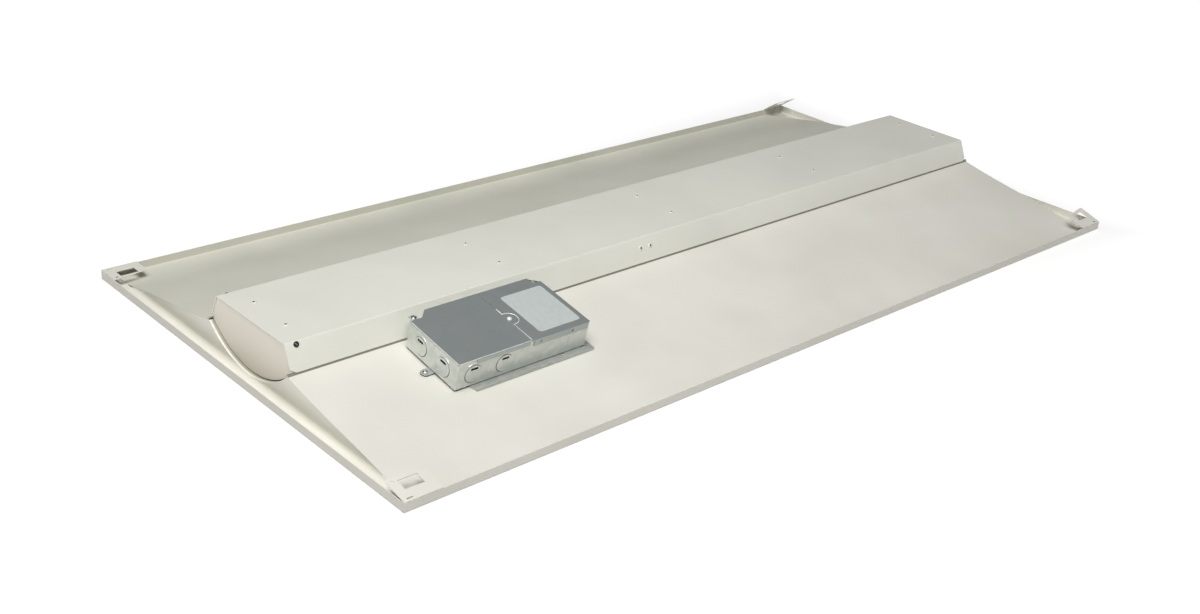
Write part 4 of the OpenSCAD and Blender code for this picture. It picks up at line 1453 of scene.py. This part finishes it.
@dataclass
class LampTray:
    """The gear tray with its boards, chips, connectors and screws."""

    shop: Workshop
    board_x: float = 24 * MM
    board_y: float = 4 * MM
    board_z: float = 48.4 * MM
    chip_first: float = 10 * MM
    chip_pitch: float = 20 * MM
    chip_count: int = 28
    chip: Triple = (2.8 * MM, 3.5 * MM, 0.7 * MM)
    gel_inset: float = 0.35 * MM
    case_share: float = 0.8
    gel_top_share: float = 0.6
    chip_round: float = 0.12 * MM
    board_round: float = 0.1 * MM
    plug_round: float = 0.15 * MM
    screw: Pan = Pan(2.8 * MM, 1.6 * MM, 1.5 * MM, 4.8 * MM)
    screw_steps: int = 13
    screws_each: int = 3

    def chip_shape(self, name: str, inset: float, low: float, high: float) -> Obj:
        """Make a small block with rounded edges, hung from height 0.

        Args:
            name: The shape's name.
            inset: How much narrower than the chip it is on each side.
            low: Its lowest height, as a share of the chip's.
            high: Its highest height, as a share of the chip's.

        Returns:
            The block.
        """
        wide, long, deep = self.chip
        size = (wide - inset * 2, long - inset * 2, (high - low) * deep)
        made = block(name, size, Matrix.Translation((0, 0, (low + high) / 2 * deep)))
        return self.shop.keep(bevelled(made, self.chip_round, 1))

    def build(self) -> None:
        """Build and dress the tray and what it carries."""
        install_copy("gear_tray", "_folded", REFLECTOR_COAT, "reflector_white")
        for number in (1, 2, 3, 4):
            install_copy(f"led_board_{number}", "_routed", SOLDER_MASK, "board_white", self.board_round, 1)
        start = self.board_y + self.chip_first
        firsts = (start, -start - self.chip_pitch * (self.chip_count - 1))
        places = [Vector((self.board_x * side, y, self.board_z)) for side in (1, -1) for y in firsts]
        rows = points_mesh("rows", [(place, UPRIGHT) for place in places])
        case = self.chip_shape("chip_case", 0, -self.case_share, 0)
        gel = self.chip_shape("chip_gel", self.gel_inset, -1, -self.gel_top_share)
        for name, shape, finish, *slots in (
            ("chip_cases", case, CHIP_CASE, "board_white"),
            ("chip_gels", gel, PHOSPHOR, "chip_phosphor", "led_chips"),
        ):
            values = {"Chip": shape, "Pitch": self.chip_pitch, "Chips": self.chip_count}
            install(self.shop.chips.run(name, rows, Material=finish.material(), **values), finish, *slots)
        ys = [start + self.chip_pitch * (0.5 + i * self.screw_steps) for i in range(self.screws_each)]
        quarters = [(sx * self.board_x, sy) for sx in (1, -1) for sy in (1, -1)]
        seats = [(Vector((x, y * sy, self.board_z)), (math.pi, 0.0, 0.0)) for x, sy in quarters for y in ys]
        screw = self.shop.keep(self.screw.shape("board_screw"))
        self.shop.fasten("lamp_board_screws", screw, seats, BRIGHT_ZINC, "zinc_screw", "board_screws")
        housings = refined_copy("board_connectors", "board_connector_housings", self.plug_round)
        install(housings, NYLON_NATURAL, "nylon_natural", "board_connectors")
        wires = refined_copy("board_links", "board_link_wires", self.board_round, 1)
        install(wires, Insulation.WHITE.finish(), "lead_white", "board_links")


@dataclass
class DriverBox:
    """The galvanised box on the right wing, with its covers, knockouts and screws. Its own frame has A down
    the slope, B along it and C square to it."""

    shop: Workshop
    corner: Triple = (91.5 * MM, -453.6 * MM, 32.957 * MM)
    tilt: float = math.radians(9.996)
    width: float = 85.1 * MM
    height: float = 33.9 * MM
    sheet: float = 0.9 * MM
    slit: float = 1.7 * MM
    base_fold: float = 0.9 * MM
    wall_fold: float = 1.2 * MM
    edge_round: float = 0.2 * MM
    lid_round: float = 0.25 * MM
    label: tuple[Point, Point] = ((6 * MM, 115 * MM), (77 * MM, 173 * MM))
    label_corner: float = 4 * MM
    label_film: float = 0.15 * MM
    seam_b: float = 97 * MM
    tab: Point = (42.55 * MM, 99.9 * MM)
    tab_r: float = 9.5 * MM
    tab_steps: int = 20
    lid_gap: float = 0.8 * MM
    lid_edge: Point = (22 * MM, 83.5 * MM)
    end_edge: tuple[Point, Point] = ((0.0, 0.6 * MM), (84.6 * MM, 0.6 * MM))
    front_edge: tuple[Point, Point] = ((84.9 * MM, 1.2 * MM), (84.9 * MM, 96 * MM))
    seam_bead: float = 0.5 * MM
    end_bead: float = 0.45 * MM
    front_bead: float = 0.4 * MM
    bead_sunk: float = 0.1 * MM
    knockout_r: float = 10.6 * MM
    knockout_c: float = 16.2 * MM
    front_knockouts: Point = (21.5 * MM, 62.5 * MM)
    end_knockouts: Point = (22 * MM, 61.7 * MM)
    struck_aside: float = 0.6 * MM
    struck_down: float = 0.3 * MM
    pry_slot: Point = (9.2 * MM, 2.7 * MM)
    pry_up: float = 6.4 * MM
    slot_reach: float = 0.51
    # How far in from the rim, and how high, the knockouts' dome is.
    dome: tuple[Point, ...] = ((1.2 * MM, 0.35 * MM), (0.3 * MM, 0.2 * MM), (0.0, -0.1 * MM))
    disc_steps: int = 64
    ridge_r: float = 13.2 * MM
    ridge_turns: range = range(55, 130, 5)
    ridge_bead: float = 0.5 * MM
    cover_screw: Pan = Pan(2.9 * MM, 1.7 * MM, 1.7 * MM, 7 * MM)
    small_screw: Pan = Pan(3.1 * MM, 1.8 * MM, 1.6 * MM, 3 * MM)
    ground_screw: Pan = Pan(4 * MM, 2.6 * MM, 1.9 * MM, 1.7 * MM)
    ears: tuple[Triple, Triple] = ((45 * MM, -8 * MM, 0.9 * MM), (-7.05 * MM, 10 * MM, 31.4 * MM))
    driver_feet: tuple[Point, Point] = ((21.5 * MM, 56.5 * MM), (100 * MM, 172 * MM))
    driver_foot_c: float = 2.3 * MM
    ground: Triple = (72 * MM, 22 * MM, 1.7 * MM)

    def place(self) -> Matrix:
        """Return the matrix from the box's frame to the CAD's."""
        return Matrix.Translation(self.corner) @ Matrix.Rotation(self.tilt, 4, "Y")

    def at(self, a: float, b: float, c: float, turn: Matrix | None = None) -> Seat:
        """Return a seat on the box, with what sits there turned in the box's frame."""
        whole = self.place() @ Matrix.Translation((a, b, c)) @ (turn or Matrix.Identity(4))
        return whole.to_translation(), tuple(whole.to_euler())

    def build(self) -> None:
        """Build and dress the box."""
        base = refined_copy("driver_base", "driver_base_pressed", self.edge_round, fold=self.base_fold)
        coat_faces(install(base, BASE_ZINC, "galvanised", "driver_base"), FOOT_AND_SLOT_SHADE_ZINC, self.in_foot)
        walls = refined_copy("driver_box", "driver_box_folded", self.edge_round, fold=self.wall_fold)
        self.lift_foot(walls)
        install(walls, BOX_ZINC, "galvanised", "driver_box")
        for body, width in ((Body.WIRING_COVER, self.edge_round), (Body.DRIVER_LID, self.lid_round)):
            install_copy(body.value, "_pressed", COVER_ZINC, "galvanised_dark", width, body=body)
        top = self.place() @ Matrix.Translation((0, 0, self.height))
        label = rounded_plate("blank_label", *self.label, self.label_corner, self.label_film, top)
        install(label, LABEL_FILM, "driver_case", body=Body.DRIVER_LID)
        self.draw_edges()
        self.set_knockouts()
        self.set_screws()

    def in_foot(self, middle: Vector, normal: Vector) -> bool:
        """Tell whether a face of the base is on its edge under the walls, where the painted shade goes.

        Args:
            middle: The face's centre.
            normal: Its normal.

        Returns:
            Whether it is.
        """
        flat = self.place().inverted()
        spot = flat @ middle
        upright = abs((flat.to_3x3() @ normal).z) < 0.5
        return upright and spot.x < self.width + self.sheet and spot.z < self.sheet

    def lift_foot(self, walls: Obj) -> None:
        """Lift the walls' lower edge off the base by the slit that shows there as a dark line.

        Args:
            walls: The walls.
        """
        back = self.place().inverted()
        up = self.place().to_3x3() @ Vector((0, 0, self.slit))
        for vert in walls.data.vertices:
            if (back @ vert.co).z < self.sheet + self.edge_round * 2:
                vert.co += up

    def draw_edges(self) -> None:
        """Draw the sheared edges as beads in a painted highlight: the lid's along the seam and round the
        screw tab, and the wiring cover's along its near end and its front."""
        reach, level = self.tab_r + self.lid_gap, self.seam_b + self.lid_gap
        rise = level - self.tab[1]
        start = math.atan2(rise, math.sqrt(reach**2 - rise**2))
        sweep = math.pi - 2 * start
        turns = [math.pi - start - sweep * i / self.tab_steps for i in range(self.tab_steps + 1)]
        tab = [(self.tab[0] + reach * math.cos(t), self.tab[1] + reach * math.sin(t)) for t in turns]
        seam = [(self.lid_edge[0], level)] + tab + [(self.lid_edge[1], level)]
        for name, path, radius, body in (
            ("lid_seam_edge", seam, self.seam_bead, Body.DRIVER_LID),
            ("cover_end_edge", self.end_edge, self.end_bead, Body.WIRING_COVER),
            ("cover_front_edge", self.front_edge, self.front_bead, Body.WIRING_COVER),
        ):
            points = [self.at(a, b, self.height - self.bead_sunk)[0] for a, b in path]
            install(bead(name, points, radius), EDGE_HIGHLIGHT_ZINC, "galvanised", body=body)

    def disc(self) -> Obj:
        """Make one knockout: a slightly domed disc with a pry slot near its top; X is to its right and Y up.

        Returns:
            The disc.
        """
        r, back = self.knockout_r, -self.sheet
        dome = [(0, self.dome[0][1])] + [(r - inset, rise) for inset, rise in self.dome]
        disc = lathed("knockout_shape", dome + [(r, back), (0, back)], self.disc_steps)
        blade = block("slot_blade", (*self.pry_slot, self.sheet * 4), Matrix.Translation((0, self.pry_up, 0)))
        return self.shop.keep(carved(disc, blade))

    def in_slot(self, flat: Matrix, middle: Vector, normal: Vector) -> bool:
        """Tell whether a face is on the side of one knockout's pry slot, where the painted shade goes.

        Args:
            flat: Takes the CAD's frame to the knockout's own.
            middle: The face's centre.
            normal: Its normal.

        Returns:
            Whether it is.
        """
        spot = flat @ middle
        off = max(abs(spot.x) / self.pry_slot[0], abs(spot.y - self.pry_up) / self.pry_slot[1])
        upright = abs((flat.to_3x3() @ normal).z) < 0.5
        return upright and off < self.slot_reach and abs(spot.z) < self.sheet * 2

    def set_knockouts(self) -> None:
        """Set the four knockouts, each struck a little off its hole's middle, so that the hole's rim shows on
        one side only, and the raised arc over each."""
        front = Matrix(((0, 0, 1, 0), (1, 0, 0, 0), (0, 1, 0, 0), (0, 0, 0, 1)))
        end = Matrix(((1, 0, 0, 0), (0, 0, -1, 0), (0, 1, 0, 0), (0, 0, 0, 1)))
        spots = [(self.width, b, front, self.struck_aside) for b in self.front_knockouts]
        spots += [(a, 0.0, end, -self.struck_aside) for a in self.end_knockouts]
        holes, struck = [], []
        for a, b, turn, aside in spots:
            holes.append(self.at(a, b, self.knockout_c, turn))
            slipped = turn @ Matrix.Translation((aside, -self.struck_down, 0))
            struck.append(self.at(a, b, self.knockout_c, slipped))
        fasten = self.shop.fasten
        discs = fasten("knockout_discs", self.disc(), struck, BOX_ZINC, "galvanised", "knockouts", spin=0)
        flats = [Matrix.LocRotScale(place, Euler(turn), None).inverted() for place, turn in struck]
        coat_faces(discs, FOOT_AND_SLOT_SHADE_ZINC, lambda *face: any(self.in_slot(flat, *face) for flat in flats))
        turns = [math.radians(turn) for turn in self.ridge_turns]
        arc = [Vector((self.ridge_r * math.cos(t), self.ridge_r * math.sin(t), 0)) for t in turns]
        ridge = self.shop.keep(bead("knockout_ridge", arc, self.ridge_bead))
        fasten("knockout_ridges", ridge, holes, BOX_ZINC, "galvanised", spin=0)

    def set_screws(self) -> None:
        """Set the box's screws."""
        pans = (self.cover_screw, self.small_screw, self.ground_screw)
        cover, small, ground = (self.shop.keep(pan.shape("box_screw_shape")) for pan in pans)
        ears = [self.at(*ear) for ear in self.ears]
        feet = [self.at(a, b, self.driver_foot_c) for a in self.driver_feet[0] for b in self.driver_feet[1]]
        middle, earth = [self.at(*self.tab, self.height)], [self.at(*self.ground)]
        fasten, moving = self.shop.fasten, Body.WIRING_COVER
        fasten("cover_screw_pan", cover, middle, SCREW_HIGHLIGHT_ZINC, "zinc_screw", "cover_screw", body=moving)
        fasten("box_screws", small, ears, BRIGHT_ZINC, "zinc_screw", "base_screws")
        fasten("driver_foot_screws", small, feet, BRIGHT_ZINC, "zinc_screw", "driver_screws")
        fasten("ground_screw_pan", ground, earth, GREEN_ZINC, "ground_green", "ground_screw")


@dataclass(frozen=True)
class DriverWiring:
    """The driver inside the box, its leads, splice caps, sleeve and clamp."""

    # Each part's node, material slot and finish, and the round on its edges.
    parts: tuple[tuple[str, str, Finish, float], ...] = (
        ("led_driver", "driver_case", DRIVER_COAT, 0.6 * MM),
        ("wire_nuts", "nut_orange", SPLICE_CAP, 0.3 * MM),
        ("lead_sleeve", "nylon_natural", NYLON_NATURAL, 0.2 * MM),
        ("lead_clamp", "nylon_black", NYLON_BLACK, 0.2 * MM),
    )
    wire_round: float = 0.08 * MM

    def build(self) -> None:
        """Build and dress what is inside the box."""
        for node, slot, finish, width in self.parts:
            install_copy(node, "_part", finish, slot, width)
        for colour in Insulation:
            node = "lead_" + colour.name.lower()
            install_copy(node, "_wire", colour.finish(), node, self.wire_round, 1)


@dataclass(frozen=True)
class GridClips:
    """The four corner clips that bend up to hold the fixture in its ceiling grid."""

    edge_round: float = 0.15 * MM

    def build(self) -> None:
        """Build and dress the clips."""
        for clip in (body for body in Body if body.name.startswith("CLIP")):
            install_copy(clip.value, "_plate", REFLECTOR_COAT, "reflector_white", self.edge_round, body=clip)


@dataclass
class Studio:
    """The floor, the light and the camera."""

    azimuth: float = math.radians(45.43)
    elevation: float = math.radians(25.79)
    roll: float = math.radians(4.63)
    distance: float = 1732 * MM
    target: Triple = (86 * MM, -167 * MM, 0.0)
    lens: float = 43.56
    sensor: float = 36
    clips: Point = (0.01, 60)
    floor: float = 14.0
    floor_cells: int = 8
    floor_drop: float = 0.5 * MM
    room_colour: str = "#f2f4f6"
    room_strength: float = 0.12
    key_place: Triple = (1.0, -1.2, 2.7)
    key_size: float = 1.9
    key_watts: float = 108

    def build(self) -> None:
        """Set up the studio."""
        self.lay_floor()
        self.light_room()
        self.hang_key()
        self.stand_camera()

    def lay_floor(self) -> None:
        """Lay a flat, pale floor just under the fixture."""
        bm = bmesh.new()
        cells = self.floor_cells
        bmesh.ops.create_grid(bm, x_segments=cells, y_segments=cells, size=self.floor / 2)
        floor = mesh_object("studio_floor", bm)
        floor.data.materials.append(STUDIO_FLOOR.material())
        floor.location = (0, 0, -self.floor_drop)

    def light_room(self) -> None:
        """Light the fixture dimly from all round."""
        world = bpy.data.worlds.new("soft_room")
        world.use_nodes = True
        inputs = world.node_tree.nodes["Background"].inputs
        inputs["Color"].default_value = srgb(self.room_colour)
        inputs["Strength"].default_value = self.room_strength
        bpy.context.scene.world = world

    def hang_key(self) -> None:
        """Hang a large soft lamp above the fixture, to its right, facing it."""
        data = bpy.data.lights.new("key", "AREA")
        data.shape = "RECTANGLE"
        data.size = data.size_y = self.key_size
        data.energy = self.key_watts
        lamp = bpy.data.objects.new("key", data)
        lamp.location = self.key_place
        lamp.rotation_euler = Vector(self.key_place).to_track_quat("Z", "Y").to_euler()
        bpy.context.scene.collection.objects.link(lamp)

    def stand_camera(self) -> None:
        """Stand the camera where the photograph was taken."""
        bow, lift = self.azimuth, self.elevation
        back = Vector((math.sin(bow) * math.cos(lift), -math.cos(bow) * math.cos(lift), math.sin(lift)))
        right = Vector((math.cos(bow), math.sin(bow), 0))
        up = back.cross(right)
        level, upright = math.cos(self.roll), math.sin(self.roll)
        axes = (right * level + up * upright, up * level - right * upright, back)
        turn = Matrix([[axis[row] for axis in axes] for row in range(3)])
        data = bpy.data.cameras.new("photograph_camera")
        data.lens = self.lens
        data.sensor_width = self.sensor
        data.sensor_fit = "HORIZONTAL"
        data.clip_start, data.clip_end = self.clips
        camera = bpy.data.objects.new("photograph_camera", data)
        camera.matrix_world = Matrix.Translation(Vector(self.target) + back * self.distance) @ turn.to_4x4()
        bpy.context.scene.collection.objects.link(camera)
        bpy.context.scene.camera = camera


def main() -> None:
    """Build the studio and every sub-assembly."""
    logging.basicConfig(level=logging.INFO, format="%(message)s", stream=sys.stdout)
    bpy.context.scene.view_settings.view_transform = "Standard"
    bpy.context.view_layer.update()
    shop = Workshop()
    shared = (ReflectorShell(shop), ChannelSpine(shop), BasketLens(shop), LampTray(shop), DriverBox(shop))
    for part in (Studio(), *shared, DriverWiring(), GridClips()):
        log.info("%s", type(part).__name__)
        part.build()
    shop.clear()


if __name__ == "__main__":
    main()
